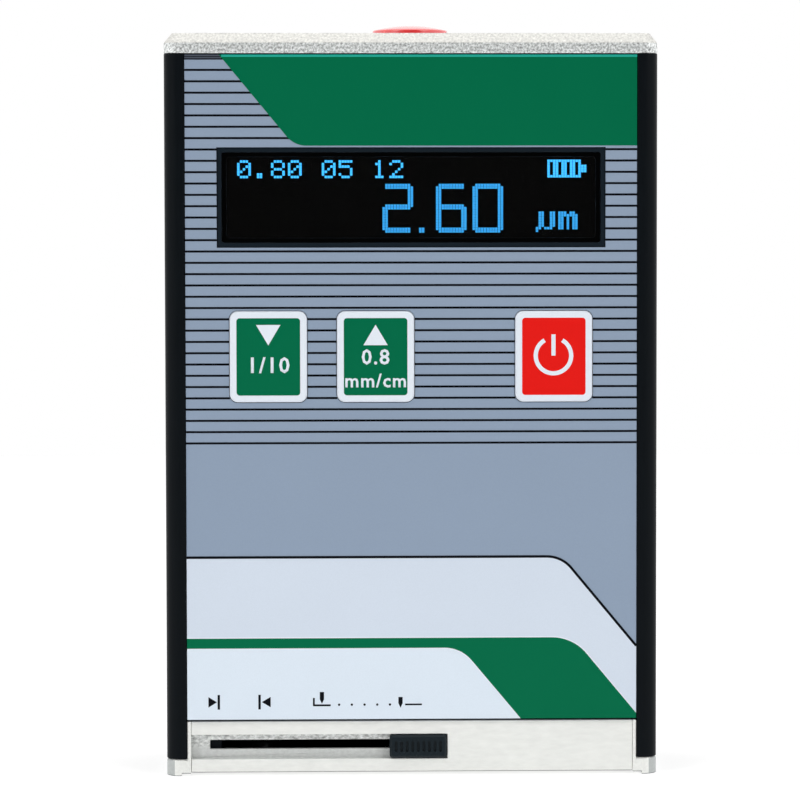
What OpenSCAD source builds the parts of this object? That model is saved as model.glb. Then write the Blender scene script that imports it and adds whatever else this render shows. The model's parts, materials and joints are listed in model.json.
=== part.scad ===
// Pocket surface roughness tester, millimetres.
// It stands on its base with the panel facing -Y and the start button on top.

/* [Body] */
// Width over the two rails
body_w = 70; // [66:0.5:80]
// Depth from the rails to the back
body_d = 24; // [23:0.25:30]
// Height from the foot bars to the top of the end cap
body_h = 105.6; // [100:0.1:130]
// Radius of the upright corners
corner_r = 2; // [1.4:0.1:2.6]
// Thickness of the side walls
side_wall = 2; // [1.4:0.1:2.4]
// Thickness of the wall behind the panel
front_wall = 1.5; // [1:0.1:2]
// Thickness of the back wall
back_wall = 1.6; // [1:0.1:1.9]
// Width of the rail at each side of the panel
rail_w = 2.9; // [2.4:0.1:3.2]
// Width of a corner port for the cap screws
port_w = 5.8; // [5.2:0.1:6]
// Distance from a cap screw to the side wall
port_inset = 2.4; // [2.2:0.1:2.6]

/* [Caps] */
// Thickness of the top end cap
top_cap_t = 2.9; // [2.8:0.1:4]
// Chamfer round the top end cap, inwards
top_chamfer = 1.15; // [0.6:0.05:1.3]
// Chamfer round the top end cap, downwards
top_chamfer_h = 1.4; // [0.6:0.05:1.6]
// Depth of the plug under the top end cap
plug_h = 1.5; // [1:0.1:2]
// Height of the base flange above the table
base_t = 2.4; // [2:0.05:2.6]
// Height of the two foot bars
foot_h = 0.35; // [0.2:0.05:0.45]
// Width of a foot bar
foot_w = 2.2; // [1.8:0.1:2.2]
// Thickness of the base floor under the shutter
floor_t = 0.85; // [0.6:0.05:0.9]
// Radius of a cap screw
cap_screw_r = 1.04; // [0.9:0.01:1.1]
// Radius of a cap screw head
cap_head_r = 2.1; // [1.9:0.05:2.2]
// Length of a cap screw
cap_screw_l = 9; // [6:0.5:12]

/* [Front panel] */
// Depth of the channel that takes the panel film
panel_pocket = 0.65; // [0.55:0.05:0.8]
// Thickness of the panel film
panel_t = 0.5; // [0.3:0.05:0.5]
// Width of the display frame
display_w = 55.1; // [44:0.1:55.4]
// Height of the display frame
display_h = 14.2; // [10:0.1:16]
// Distance from the top of the cap to the middle of the display
display_drop = 23.25; // [20:0.05:26]
// Width of the visible border of the display frame
display_border = 0.58; // [0.5:0.02:1]
// Thickness of the display window
window_t = 0.85; // [0.6:0.05:1]
// Width of a key
key_w = 10.95; // [9:0.05:12]
// Height of a key
key_h = 12.9; // [10:0.1:16]
// Corner radius of a key
key_r = 1.15; // [0.8:0.05:2]
// Distance from the top of the cap to the middle of the keys
key_drop = 45.8; // [44:0.1:50]
// Distance from the left edge of the panel to the middle of the down key
key_left = 11.8; // [11:0.1:14]
// Distance from the down key to the up key
key_pitch = 15.2; // [14:0.1:20]
// Distance from the right edge of the panel to the middle of the power key
key_right = 11.9; // [11:0.1:16]
// Height of a key above the film
key_rise = 0.35; // [0.3:0.05:0.8]
// Travel of a key
key_travel = 0.3; // [0.2:0.05:0.5]

/* [Start button] */
// Radius of the start button
start_r = 5.4; // [4:0.1:6]
// Height of the start button above the cap
start_rise = 1.4; // [1.2:0.05:2]
// Height of its dome
start_dome = 0.7; // [0.5:0.05:1.15]
// Travel of the start button
start_travel = 0.8; // [0.4:0.1:0.9]

/* [Shutter] */
// Height of the slot plate above the table
apron_h = 8; // [7.4:0.05:9]
// Thickness of the slot plate
apron_t = 2; // [1.8:0.1:2]
// Bevel along the top of the slot plate, downwards
apron_bevel = 0.65; // [0.3:0.05:0.7]
// Bevel along the top of the slot plate, inwards
apron_bevel_in = 0.25; // [0.1:0.05:0.6]
// Width of the cheek of the base at each end of the slot plate
cheek_w = 0.6; // [0.5:0.05:0.9]
// Height of the window in the slot plate
slot_h = 3.5; // [3:0.05:3.6]
// Middle of that window above the table
slot_z = 4.13; // [4:0.01:4.6]
// Length of that window
slot_l = 36.5; // [32:0.05:40]
// Depth of that window
slot_depth = 1.2; // [1:0.05:1.3]
// Height of the slit behind the knob
slit_h = 1.3; // [1.1:0.05:1.5]
// Length of the knob
knob_l = 8.15; // [7:0.05:9]
// Height of the knob above the slot plate
knob_rise = 0.4; // [0.2:0.05:1]
// Number of ribs on the knob
knob_ribs = 8; // [5:1:9]
// Thickness of the shutter blade
blade_t = 0.6; // [0.4:0.05:0.65]
// Length of the shutter blade
blade_l = 13.8; // [13:0.1:14.5]

/* [Pick-up] */
// Distance from the end of the shutter channel to the stylus at the start of a trace
stylus_in = 9.9; // [9.6:0.1:10.6]
// Length of a trace
trace_l = 6; // [4:0.1:6]
// Radius of the skid round the stylus
skid_r = 1.5; // [1.2:0.05:1.6]
// Distance from the stylus to the pivot of the pick-up
arm_l = 29.7; // [29:0.1:30.5]
// Height of that pivot
pivot_z = 5.5; // [5.4:0.05:5.8]
// Radius of the pivot pin
pivot_r = 0.8; // [0.5:0.05:0.9]
// Lift of the pick-up when the shutter is closed, degrees
lift_deg = 7.2; // [7:0.1:7.4]

/* [Drive] */
// Height of the lead screw
screw_z = 10; // [9.9:0.05:10.4]
// Space between the drive nut and the web of the drive frame
nut_gap = 0.7; // [0.5:0.05:0.9]
// Radius of the lead screw
screw_r = 1.5; // [1.25:0.05:1.6]
// Radius of the guide rod
guide_r = 1.25; // [0.8:0.05:1.4]
// Module of the two gears
gear_module = 0.4; // [0.38:0.01:0.41]
// Teeth of the gear on the lead screw
gear_teeth = 20; // [18:2:20]
// Teeth of the motor pinion
pinion_teeth = 16; // [16:2:20]
// Radius of the motor
motor_r = 4; // [3:0.1:4.1]
// Length of the motor
motor_l = 22; // [14:0.5:22.5]
// Thickness of the drive frame walls
frame_t = 2; // [1.5:0.1:2.2]

/* [Electronics] */
// Thickness of the main board
pcb_t = 1.6; // [1:0.1:1.8]
// Space between the front wall and the main board
pcb_gap = 3.4; // [3.2:0.05:4]
// Height of a key switch
switch_h = 0.9; // [0.6:0.05:1]
// Thickness of the battery
battery_t = 7; // [4:0.1:8]
// Width of the battery
battery_w = 44; // [30:0.5:50]
// Height of the battery
battery_h = 50; // [30:0.5:54]
// Height of the charge socket above the table
socket_z = 38; // [34:0.5:48]
// Width of the charge socket
socket_w = 7.8; // [7:0.1:8.5]

/* [Clearances] */
// Gap round a piece that is fitted in place
fit_gap = 0.05; // [0.03:0.01:0.08]
// Gap round a piece that slides
slide_gap = 0.1; // [0.08:0.01:0.12]
// Gap round a key
key_gap = 0.1; // [0.1:0.01:0.2]

/* [Hidden] */
$fn = 64;
eps = 0.2;
half_w = body_w / 2;
y_front = -body_d / 2;
y_back = body_d / 2;
z_top = body_h - top_cap_t;
inner_x = half_w - side_wall;
panel_half = half_w - rail_w;
pocket_y = y_front + panel_pocket;
panel_y = pocket_y - panel_t;
inner_yf = pocket_y + front_wall;
inner_yb = y_back - back_wall;

// Corner ports of the extrusion
port_x = inner_x - port_inset;
port_x0 = inner_x - port_w;
port_yf = inner_yf + 2.65;
port_yb = inner_yb - 2.35;
port_depth = 4.7;
pcb_yf = inner_yf + pcb_gap;
pcb_yb = pcb_yf + pcb_t;
groove_d = 1;
groove_lip = 0.75;
pcb_x = port_x0 + groove_d - fit_gap;
pcb_z0 = 29;
pcb_z1 = z_top - plug_h - 1.9;
cap_sink = cap_head_r - cap_screw_r;
pilot_r = cap_screw_r + 0.01;

// Panel
display_z = body_h - display_drop;
key_down_x = key_left - panel_half;
key_up_x = key_down_x + key_pitch;
key_power_x = panel_half - key_right;
key_z = body_h - key_drop;
frame_y0 = panel_y + fit_gap;
film_gap = 0.18;
frame_w = display_w - 2 * slide_gap;
frame_h = display_h - 2 * slide_gap;
seat_w = 0.7;
window_y1 = inner_yf - 0.75;
window_y0 = window_y1 - window_t;
oled_t = 1.6;
oled_w = display_w - 2;
oled_h = display_h + 1.5;
oled_gap = 0.2;
key_edge = 0.2;
key_flange = 0.5;
key_flange_t = 0.8;
key_seat_y = inner_yf + slide_gap;
switch_y = pcb_yf - switch_h;
key_stem_y = switch_y - key_travel - slide_gap;

// Start button
start_ledge = z_top + 0.4;
start_flange_z = start_ledge - slide_gap;
start_flange_t = 1.1;
start_flange_r = start_r + 1;
dome_r = (start_r * start_r + start_dome * start_dome) / (2 * start_dome);
board_z1 = z_top - plug_h - 2.8;
board_t = 1.2;
board_x = 14;
board_y0 = pcb_yb + 0.85;
board_y1 = 4;
post_x = 10.5;
start_switch_z = board_z1 + 1.1;
start_stem_z = start_switch_z + start_travel + slide_gap;
m2_r = 0.84;
m2_head_r = 1.7;
m2_head_h = 1.2;
m2_l = 3.5;
switch_half = 3;

// Base
plate_y0 = y_front + 0.1;
plate_y1 = plate_y0 + apron_t;
plate_x = panel_half - cheek_w - fit_gap;
cheek_x0 = plate_x + fit_gap;
cheek_x1 = panel_half - fit_gap;
plate_z0 = foot_h + 0.22;
plate_z1 = apron_h - 0.25;
cheek_edge = 0.15;
tongue = 0.25;
floor_z = foot_h + floor_t;
channel_yf = -3.9;
channel_yb = 4;
channel_x = inner_x - 1.4;
ledge_z = 4;
flange_edge = 0.25;
rim_x = port_x0 - 1.2;
rim_t = 0.9;
rim_h = 3;
pedestal_y0 = 5.2;
pedestal_y1 = inner_yb - 1.4;

// Stylus and pivot of the pick-up
stylus_x = stylus_in - channel_x;
pivot_x = stylus_x + arm_l;

// Shutter
slot_z0 = slot_z - slot_h / 2;
slot_z1 = slot_z + slot_h / 2;
slot_y = plate_y0 + slot_depth;
slot_right = slot_l - plate_x;
shutter_travel = slot_l - knob_l - 0.85;
slit_z = slot_z + 0.19;
slit_x0 = -plate_x + 2.6;
knob_x1 = slot_right - slide_gap;
knob_x0 = knob_x1 - knob_l;
knob_h = slot_h - 2 * slide_gap;
knob_y0 = plate_y0 - knob_rise;
knob_y1 = slot_y - slide_gap;
knob_r = 0.4;
knob_edge = 0.3;
knob_rib_in = 0.9;
knob_groove_w = 0.4;
knob_groove_d = 0.25;
neck_x1 = knob_x1 - 0.9;
neck_x0 = neck_x1 - 3;
neck_h = slit_h - 2 * slide_gap;
tab_y0 = plate_y1 + 0.7;
tab_y1 = tab_y0 + blade_t;
blade_z0 = floor_z + slide_gap;
blade_z1 = blade_z0 + blade_t;
blade_x0 = -channel_x + 0.3 + shutter_travel;
blade_x1 = blade_x0 + blade_l;
blade_yb = channel_yb - 0.15;
ramp_y0 = channel_yf + 0.3;
ramp_y1 = ramp_y0 + 1;
ramp_x0 = blade_x0 + 1.3;
ramp_x1 = ramp_x0 + shutter_travel;
ramp_z0 = blade_z1 + 0.4;
pin_r = 0.5;
pin_dx = pivot_x - ramp_x0;
ramp_z1 = ramp_z0 + pin_dx * sin(lift_deg);
pin_z = ramp_z0 + pin_r + slide_gap;

// Stylus window
stylus_win_x0 = stylus_x - trace_l - skid_r - 0.5;
stylus_win_x1 = stylus_x + skid_r + 0.5;
stylus_win_y = skid_r + 0.6;

// Drive
gear_c = gear_module * (gear_teeth + pinion_teeth) / 2;
motor_z = screw_z + gear_c;
guide_y = -6.2;
frame_left = 16;
frame_right = 9;
frame_x0 = pivot_x - frame_left;
frame_x1 = pivot_x + frame_right;
frame_z0 = ledge_z + 1;
frame_yb = pedestal_y1 + 0.4;
frame_web = 1;
nut_r = screw_r + 0.7;
screw_y = frame_yb - frame_web - nut_r - nut_gap;
frame_yf = guide_y - 2;
foot_x0 = frame_x0 - 4.5;
foot_x1 = port_x0 - 0.7;
foot_y0 = pedestal_y0 + 0.2;
foot_screw_y = (foot_y0 + frame_yb) / 2 - 0.3;
foot_screw_in = 2;
web_rise = 2.9;
wall_rise = 4;
motor_wall_rise = 3;
arm_gap_z = 11;
arm_gap_y0 = -4.3;
arm_gap_y1 = 3.3;
boss_r = 1.5;
shaft_in = 2.9;
shaft_out = 0.4;
mount_head_r = 0.9;
mount_head_h = 0.5;
car_x0 = pivot_x - 6;
car_x1 = pivot_x + 6;
car_z0 = 7.4;
car_z1 = screw_z + 2.8;
car_slot_z = 8.2;
car_slot_y = 2.4;
ear_y = 4;
ear_half = 2.5;
ear_z = pivot_z - 1.4;
bush_r = 1.8;
journal_r = 1;
gear_x0 = frame_x1 + frame_t + 1;
gear_t = 2;
shaft_r = 0.75;
motor_x0 = frame_x1 - motor_l;
mount_dy = 2.8;
mount_r = 0.5;
arm_y = 2;
tube_r = 2.2;
tip_half = 2.4;
tip_y = 1.9;
arm_z0 = pivot_z - 1.5;
arm_z1 = pivot_z + 1.5;
tip_z0 = pivot_z - 2.3;
tip_z1 = pivot_z + 1.3;
skid_z = 0.1;
stylus_z = 0.05;
stylus_r = 0.3;

// Power
battery_y1 = inner_yb - 0.6;
battery_y0 = battery_y1 - battery_t;
battery_z0 = 40;
socket_h = 2.8;
socket_x1 = half_w - 0.4;
socket_x0 = socket_x1 - 9;
socket_y1 = pcb_yb + socket_h;
shell_t = 0.4;
chip_w = 10;
chip_t = 1.2;

// Colours
black = [0.1, 0.11, 0.12];
silver = [0.86, 0.86, 0.84];
steel = [0.62, 0.63, 0.65];
brass = [0.8, 0.66, 0.35];
green = [0.05, 0.42, 0.29];
red = [0.85, 0.1, 0.09];
panel_blue = [0.6, 0.66, 0.74];

module box(x0, x1, y0, y1, z0, z1) {
    translate([x0, y0, z0]) cube([x1 - x0, y1 - y0, z1 - z0]);
}

module rod_x(x0, x1, r, y, z) {
    translate([x0, y, z]) rotate([0, 90, 0]) cylinder(h = x1 - x0, r = r);
}

module rod_y(y0, y1, r, x, z) {
    translate([x, y1, z]) rotate([90, 0, 0]) cylinder(h = y1 - y0, r = r);
}

module rod_z(z0, z1, r, x, y) {
    translate([x, y, z0]) cylinder(h = z1 - z0, r = r);
}

module rounded(w, d, r) {
    square([w - 2 * r, d], center = true);
    square([w, d - 2 * r], center = true);
    for (sx = [-1, 1], sy = [-1, 1]) {
        translate([sx * (w / 2 - r), sy * (d / 2 - r)]) circle(r);
    }
}

// Tapered layer on a rounded block, made of straight and turned pieces that meet face to face
module chamfer_layer(w, d, r, c, h) {
    edge = [[0, 0], [r, 0], [r - c, h], [0, h]];
    wx = w - 2 * r;
    dy = d - 2 * r;
    translate([-wx / 2, -dy / 2, 0]) cube([wx, dy, h]);
    for (s = [0, 180]) rotate(s) {
        translate([-wx / 2, dy / 2, 0]) rotate([90, 0, 90]) linear_extrude(wx) polygon(edge);
        translate([wx / 2, dy / 2, 0]) rotate([90, 0, 0]) linear_extrude(dy) polygon(edge);
        translate([wx / 2, dy / 2, 0]) rotate_extrude(angle = 90) polygon(edge);
        translate([-wx / 2, dy / 2, 0]) rotate(90) rotate_extrude(angle = 90) polygon(edge);
    }
}

// Rounded block that stands on z = 0 and has a chamfer round its top, c inwards and ch downwards
module slab(w, d, h, r, c, ch) {
    linear_extrude(h - ch) rounded(w, d, r);
    translate([0, 0, h - ch]) chamfer_layer(w, d, r, c, ch);
}

// Rounded plate that faces -Y, from y0 back to y1
module plate_y(w, h, r, y0, y1, x, z) {
    translate([x, y1, z]) rotate([90, 0, 0]) linear_extrude(y1 - y0) rounded(w, h, r);
}

// Places of the four cap screws
module at_ports() {
    for (s = [-1, 1], y = [port_yf, port_yb]) translate([s * port_x, y, 0]) children();
}

// Countersunk screw whose head lies at z = 0, with the shank below it
module sunk_screw(r, head_r, l) {
    sink = head_r - r;
    difference() {
        union() {
            translate([0, 0, -sink]) cylinder(h = sink, r1 = r, r2 = head_r);
            translate([0, 0, -l]) cylinder(h = l - sink + 0.01, r = r);
        }
        for (a = [0, 90]) rotate(a) translate([-1, -0.2, -0.6]) cube([2, 0.4, 1]);
    }
}

// Pan head screw whose head stands on z = 0, with the shank below it
module pan_screw(r, head_r, head_h, l) {
    difference() {
        union() {
            cylinder(h = head_h, r = head_r);
            translate([0, 0, -l]) cylinder(h = l + 0.1, r = r);
        }
        translate([-head_r, -r / 4, head_h * 0.55]) cube([2 * head_r, r / 2, head_h]);
    }
}

function involute(a) = tan(a) * 180 / PI - a;
function half_tooth(r, rp, rb, n) =
    90 / n - 0.9 + involute(20) - involute(acos(min(1, rb / r)));

// Spur gear outline with a tooth on the +x axis
module gear_outline(n, m) {
    rp = n * m / 2;
    rb = rp * cos(20);
    ra = rp + 0.9 * m;
    rr = rp - 1.2 * m;
    radii = [rb, (rb + rp) / 2, rp, (rp + ra) / 2, ra];
    points = [
        for (i = [0:n - 1])
            let (a = i * 360 / n, h0 = half_tooth(rb, rp, rb, n))
            each concat(
                [[rr * cos(a - h0), rr * sin(a - h0)]],
                [for (r = radii) let (h = half_tooth(r, rp, rb, n)) [r * cos(a - h), r * sin(a - h)]],
                [for (k = [4:-1:0]) let (r = radii[k], h = half_tooth(r, rp, rb, n))
                    [r * cos(a + h), r * sin(a + h)]],
                [[rr * cos(a + h0), rr * sin(a + h0)]]
            )
    ];
    polygon(points);
}

module housing_ports() {
    for (s = [-1, 1]) {
        xa = s < 0 ? -inner_x - eps : port_x0;
        xb = s < 0 ? -port_x0 : inner_x + eps;
        box(xa, xb, inner_yf - eps, pcb_yb + fit_gap + groove_lip, base_t, z_top);
        xc = s < 0 ? -inner_x - eps : port_x0 + 0.9;
        xd = s < 0 ? -port_x0 - 0.9 : inner_x + eps;
        box(xc, xd, inner_yb - port_depth, inner_yb + eps, base_t, z_top);
    }
}

module housing() color(black) difference() {
    union() {
        difference() {
            translate([0, 0, base_t]) linear_extrude(z_top - base_t) rounded(body_w, body_d, corner_r);
            box(-inner_x, inner_x, inner_yf, inner_yb, base_t - 1, z_top + 1);
        }
        housing_ports();
    }
    box(-panel_half, panel_half, y_front - 1, pocket_y, base_t - 1, z_top + 1);
    box(-panel_half, panel_half, y_front - 1, inner_yf, base_t - 1, apron_h);
    box(-display_w / 2, display_w / 2, pocket_y - 1, inner_yf + eps,
        display_z - display_h / 2, display_z + display_h / 2);
    for (x = [key_down_x, key_up_x, key_power_x]) {
        plate_y(key_w + 2 * key_gap, key_h + 2 * key_gap, key_r + key_gap,
            pocket_y - 1, inner_yf + eps, x, key_z);
    }
    box(-oled_w / 2 - oled_gap, oled_w / 2 + oled_gap, inner_yf, pcb_yf,
        display_z - oled_h / 2 - oled_gap, display_z + oled_h / 2 + oled_gap);
    at_ports() translate([0, 0, base_t - 1]) cylinder(h = z_top - base_t + 2, r = pilot_r);
    box(-port_x0 - groove_d, port_x0 + groove_d, pcb_yf - fit_gap, pcb_yb + fit_gap,
        base_t - 1, z_top + 1);
    box(port_x0 - 1, half_w + 1, pcb_yb, socket_y1 + slide_gap,
        socket_z - socket_w / 2 - slide_gap, socket_z + socket_w / 2 + slide_gap);
}

module top_cap() color(silver) difference() {
    union() {
        translate([0, 0, z_top]) slab(body_w, body_d, top_cap_t, corner_r, top_chamfer, top_chamfer_h);
        box(-port_x0 + 0.3, port_x0 - 0.3, inner_yf + slide_gap, inner_yb - slide_gap,
            z_top - plug_h, z_top + eps);
        for (s = [-1, 1]) rod_z(board_z1, z_top - plug_h + eps, 2, s * post_x, 0);
    }
    rod_z(z_top - plug_h - 1, body_h + 1, start_r + slide_gap, 0, 0);
    rod_z(z_top - plug_h - 1, start_ledge, start_flange_r + 0.2, 0, 0);
    at_ports() {
        translate([0, 0, z_top - 1]) cylinder(h = top_cap_t + 2, r = cap_screw_r + 0.15);
        translate([0, 0, body_h - cap_sink - 0.3])
            cylinder(h = cap_sink + 0.02, r1 = cap_screw_r, r2 = cap_head_r + 0.02);
        translate([0, 0, body_h - 0.3]) cylinder(h = 1, r = cap_head_r + 0.02);
    }
    for (s = [-1, 1]) rod_z(board_z1 - 1, board_z1 + 3, m2_r + 0.01, s * post_x, 0);
}

module top_cap_screws() color(steel) {
    at_ports() translate([0, 0, body_h - 0.3]) sunk_screw(cap_screw_r, cap_head_r, cap_screw_l);
}

module start_button() color(red) {
    top = body_h + start_rise;
    rod_z(start_flange_z - eps, top - start_dome, start_r, 0, 0);
    intersection() {
        rod_z(top - start_dome - 0.01, top + 1, start_r, 0, 0);
        translate([0, 0, top - dome_r]) sphere(dome_r);
    }
    rod_z(start_flange_z - start_flange_t, start_flange_z, start_flange_r, 0, 0);
    rod_z(start_stem_z, start_flange_z - start_flange_t + eps, 1.8, 0, 0);
}

module start_board() color(green) difference() {
    box(-board_x, board_x, board_y0, board_y1, board_z1 - board_t, board_z1);
    for (s = [-1, 1]) rod_z(board_z1 - board_t - 1, board_z1 + 1, m2_r + 0.2, s * post_x, 0);
}

module start_board_screws() color(steel) {
    for (s = [-1, 1]) translate([s * post_x, 0, board_z1 - board_t]) rotate([180, 0, 0])
        pan_screw(m2_r, m2_head_r, m2_head_h, m2_l);
}

module start_switch() color(black) {
    box(-switch_half, switch_half, -switch_half, switch_half, board_z1, start_switch_z);
}

module panel_overlay() color(panel_blue) difference() {
    box(-panel_half + slide_gap, panel_half - slide_gap, panel_y, pocket_y,
        apron_h + fit_gap, z_top - film_gap);
    box(-display_w / 2, display_w / 2, panel_y - 1, pocket_y + 1,
        display_z - display_h / 2, display_z + display_h / 2);
    for (x = [key_down_x, key_up_x, key_power_x]) {
        plate_y(key_w + 2 * key_gap, key_h + 2 * key_gap, key_r + key_gap,
            panel_y - 1, pocket_y + 1, x, key_z);
    }
}

module display_frame() color(black) difference() {
    box(-frame_w / 2, frame_w / 2, frame_y0, inner_yf,
        display_z - frame_h / 2, display_z + frame_h / 2);
    plate_y(frame_w - 2 * display_border, frame_h - 2 * display_border, 0.4,
        frame_y0 - 1, window_y1, 0, display_z);
    plate_y(frame_w - 2 * display_border - 2 * seat_w, frame_h - 2 * display_border - 2 * seat_w, 0.4,
        window_y1 - 1, inner_yf + 1, 0, display_z);
}

module display_window() color([0.05, 0.05, 0.06]) {
    plate_y(frame_w - 2 * display_border - 2 * fit_gap, frame_h - 2 * display_border - 2 * fit_gap,
        0.4, window_y0, window_y1, 0, display_z);
}

module display_module() color(black) {
    box(-oled_w / 2, oled_w / 2, inner_yf, inner_yf + oled_t,
        display_z - oled_h / 2, display_z + oled_h / 2);
}

module display_pad() color([0.3, 0.3, 0.3]) {
    box(-oled_w / 2 + 2, oled_w / 2 - 2, inner_yf + oled_t, pcb_yf,
        display_z - oled_h / 2 + 2, display_z + oled_h / 2 - 2);
}

module key_body(x) {
    translate([x, key_seat_y + eps, key_z]) rotate([90, 0, 0])
        slab(key_w, key_h, key_seat_y + eps - panel_y + key_rise, key_r, key_edge, key_edge);
    plate_y(key_w + 2 * key_flange, key_h + 2 * key_flange, key_r,
        key_seat_y, key_seat_y + key_flange_t, x, key_z);
    rod_y(key_seat_y + key_flange_t - eps, key_stem_y, 1.6, x, key_z);
}

module key_down() color(green) key_body(key_down_x);

module key_up() color(green) key_body(key_up_x);

module key_power() color(red) key_body(key_power_x);

module key_switches() color(black) {
    for (x = [key_down_x, key_up_x, key_power_x]) {
        box(x - switch_half, x + switch_half, switch_y, pcb_yf, key_z - switch_half, key_z + switch_half);
    }
}

module main_board() color(green) {
    box(-pcb_x, pcb_x, pcb_yf, pcb_yb, pcb_z0, pcb_z1);
}

module chip(x, z, w, h) {
    box(x - w / 2, x + w / 2, pcb_yb, pcb_yb + chip_t, z - h / 2, z + h / 2);
}

module circuit_chips() color(black) {
    chip(key_up_x, key_z, chip_w, chip_w);
    chip(key_up_x + 1.5 * chip_w, key_z, chip_w * 0.6, chip_w * 0.6);
    chip(key_down_x, socket_z, chip_w * 0.6, chip_w * 0.4);
    chip(key_up_x, socket_z + chip_w, chip_w * 0.8, chip_w * 0.5);
}

module charge_socket() color(steel) difference() {
    box(socket_x0, socket_x1, pcb_yb, socket_y1, socket_z - socket_w / 2, socket_z + socket_w / 2);
    difference() {
        box(socket_x0 + 2, socket_x1 + 1, pcb_yb + shell_t, socket_y1 - shell_t,
            socket_z - socket_w / 2 + shell_t, socket_z + socket_w / 2 - shell_t);
        box(socket_x0 + 1, socket_x1 - 1, pcb_yb + 1.1, pcb_yb + 1.7, socket_z - 2, socket_z + 2);
    }
}

module battery() color([0.75, 0.76, 0.78]) {
    box(-battery_w / 2, battery_w / 2, battery_y0, battery_y1, battery_z0, battery_z0 + battery_h);
}

module battery_pad() color([0.3, 0.3, 0.3]) {
    box(-battery_w / 2 + 3, battery_w / 2 - 3, battery_y1, inner_yb,
        battery_z0 + 3, battery_z0 + battery_h - 3);
}

module base_cheek() {
    section = [
        [cheek_x0, plate_y0], [cheek_x1 - cheek_edge, plate_y0], [cheek_x1, plate_y0 + cheek_edge],
        [cheek_x1, plate_y1], [cheek_x0, plate_y1]
    ];
    translate([0, 0, base_t - eps]) linear_extrude(plate_z1 - base_t + eps) polygon(section);
}

module base_cap() color(silver) difference() {
    union() {
        slab(body_w, body_d, base_t, corner_r, flange_edge, flange_edge);
        base_cheek();
        mirror([1, 0, 0]) base_cheek();
        box(foot_x0 - 0.5, foot_x1 + 0.5, pedestal_y0, pedestal_y1, base_t - eps, ledge_z);
        box(-rim_x, rim_x, inner_yb - rim_t, inner_yb - slide_gap, base_t - eps, base_t + rim_h);
        for (s = [-1, 1]) {
            x = s * (inner_x - slide_gap - rim_t / 2);
            box(x - rim_t / 2, x + rim_t / 2, 1 + channel_yf, pedestal_y0 - 0.4,
                base_t - eps, base_t + rim_h);
        }
        box(0.4 - channel_x, blade_x1 + 4, channel_yb - 1, channel_yb + 1, base_t - eps, base_t + 0.8);
    }
    box(foot_w - half_w, half_w - foot_w, y_front - 1, y_back + 1, -1, foot_h);
    box(-cheek_x0, cheek_x0, y_front - 1, plate_y1, -1, base_t + eps);
    box(-channel_x, channel_x, channel_yf, channel_yb, floor_z, base_t);
    box(-port_x0 + 0.2, port_x0 - 0.2, plate_y1 - eps, channel_yf + eps, floor_z, base_t + 1);
    box(stylus_win_x0, stylus_win_x1, -stylus_win_y, stylus_win_y, -1, floor_z + eps);
    for (s = [-1, 1]) {
        x = s * (plate_x + fit_gap + tongue / 2);
        box(x - tongue / 2 - eps, x + tongue / 2 + fit_gap, plate_y0 + 0.9 - fit_gap,
            plate_y0 + 1.5 + fit_gap, base_t, apron_h + 1);
    }
    at_ports() {
        translate([0, 0, -1]) cylinder(h = base_t + 2, r = cap_screw_r + 0.15);
        translate([0, 0, foot_h - 0.02])
            cylinder(h = cap_sink + 0.02, r1 = cap_head_r + 0.02, r2 = cap_screw_r);
    }
    for (x = [foot_x0 + foot_screw_in, foot_x1 - foot_screw_in]) {
        rod_z(foot_h + 1, ledge_z + 1, m2_r + 0.01, x, foot_screw_y);
    }
}

module base_cap_screws() color(steel) {
    at_ports() translate([0, 0, foot_h]) rotate([180, 0, 0])
        sunk_screw(cap_screw_r, cap_head_r, cap_screw_l);
}

module slot_plate() color(silver) difference() {
    union() {
        box(-plate_x, plate_x, plate_y0, plate_y1, plate_z0, plate_z1);
        box(-plate_x - tongue, plate_x + tongue, plate_y0 + 0.9, plate_y0 + 1.5, base_t, plate_z1);
    }
    translate([-plate_x - 1, 0, 0]) rotate([90, 0, 90]) linear_extrude(2 * plate_x + 2)
        polygon([
            [plate_y0 - apron_bevel_in, plate_z1 - 2 * apron_bevel],
            [plate_y0 + 2 * apron_bevel_in, plate_z1 + apron_bevel],
            [plate_y0 - apron_bevel_in, plate_z1 + apron_bevel]
        ]);
    box(-plate_x - 1, slot_right, plate_y0 - 1, slot_y, slot_z0, slot_z1);
    box(slit_x0, slot_right - 0.3, slot_y - 1, plate_y1 + 1, slit_z - slit_h / 2, slit_z + slit_h / 2);
}

module shutter_knob() color(black) {
    difference() {
        translate([(knob_x0 + knob_x1) / 2, knob_y1, slot_z]) rotate([90, 0, 0])
            slab(knob_l, knob_h, knob_y1 - knob_y0, knob_r, knob_edge, knob_edge);
        pitch = (knob_l - 2 * knob_rib_in) / knob_ribs;
        for (i = [0:knob_ribs]) {
            plate_y(knob_groove_w, knob_h - 2 * knob_rib_in, knob_groove_w / 2 - 0.01,
                knob_y0 - 1, knob_y0 + knob_groove_d, knob_x0 + knob_rib_in + i * pitch, slot_z);
        }
    }
    box(neck_x0, neck_x1, knob_y1 - eps, tab_y0, slit_z - neck_h / 2, slit_z + neck_h / 2);
}

module shutter_blade() color(steel) {
    box(blade_x0, blade_x1, ramp_y0, blade_yb, blade_z0, blade_z1);
    box(neck_x0, neck_x1, tab_y0, ramp_y0 + eps, blade_z0, blade_z1);
    box(neck_x0, neck_x1, tab_y0, tab_y1, blade_z0, slit_z + neck_h / 2);
    translate([0, ramp_y1, 0]) rotate([90, 0, 0]) linear_extrude(ramp_y1 - ramp_y0)
        polygon([
            [blade_x0, blade_z0], [ramp_x1 + 0.6, blade_z0], [ramp_x1 + 0.6, ramp_z1],
            [ramp_x1, ramp_z1], [ramp_x0, ramp_z0], [blade_x0, ramp_z0]
        ]);
}

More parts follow.
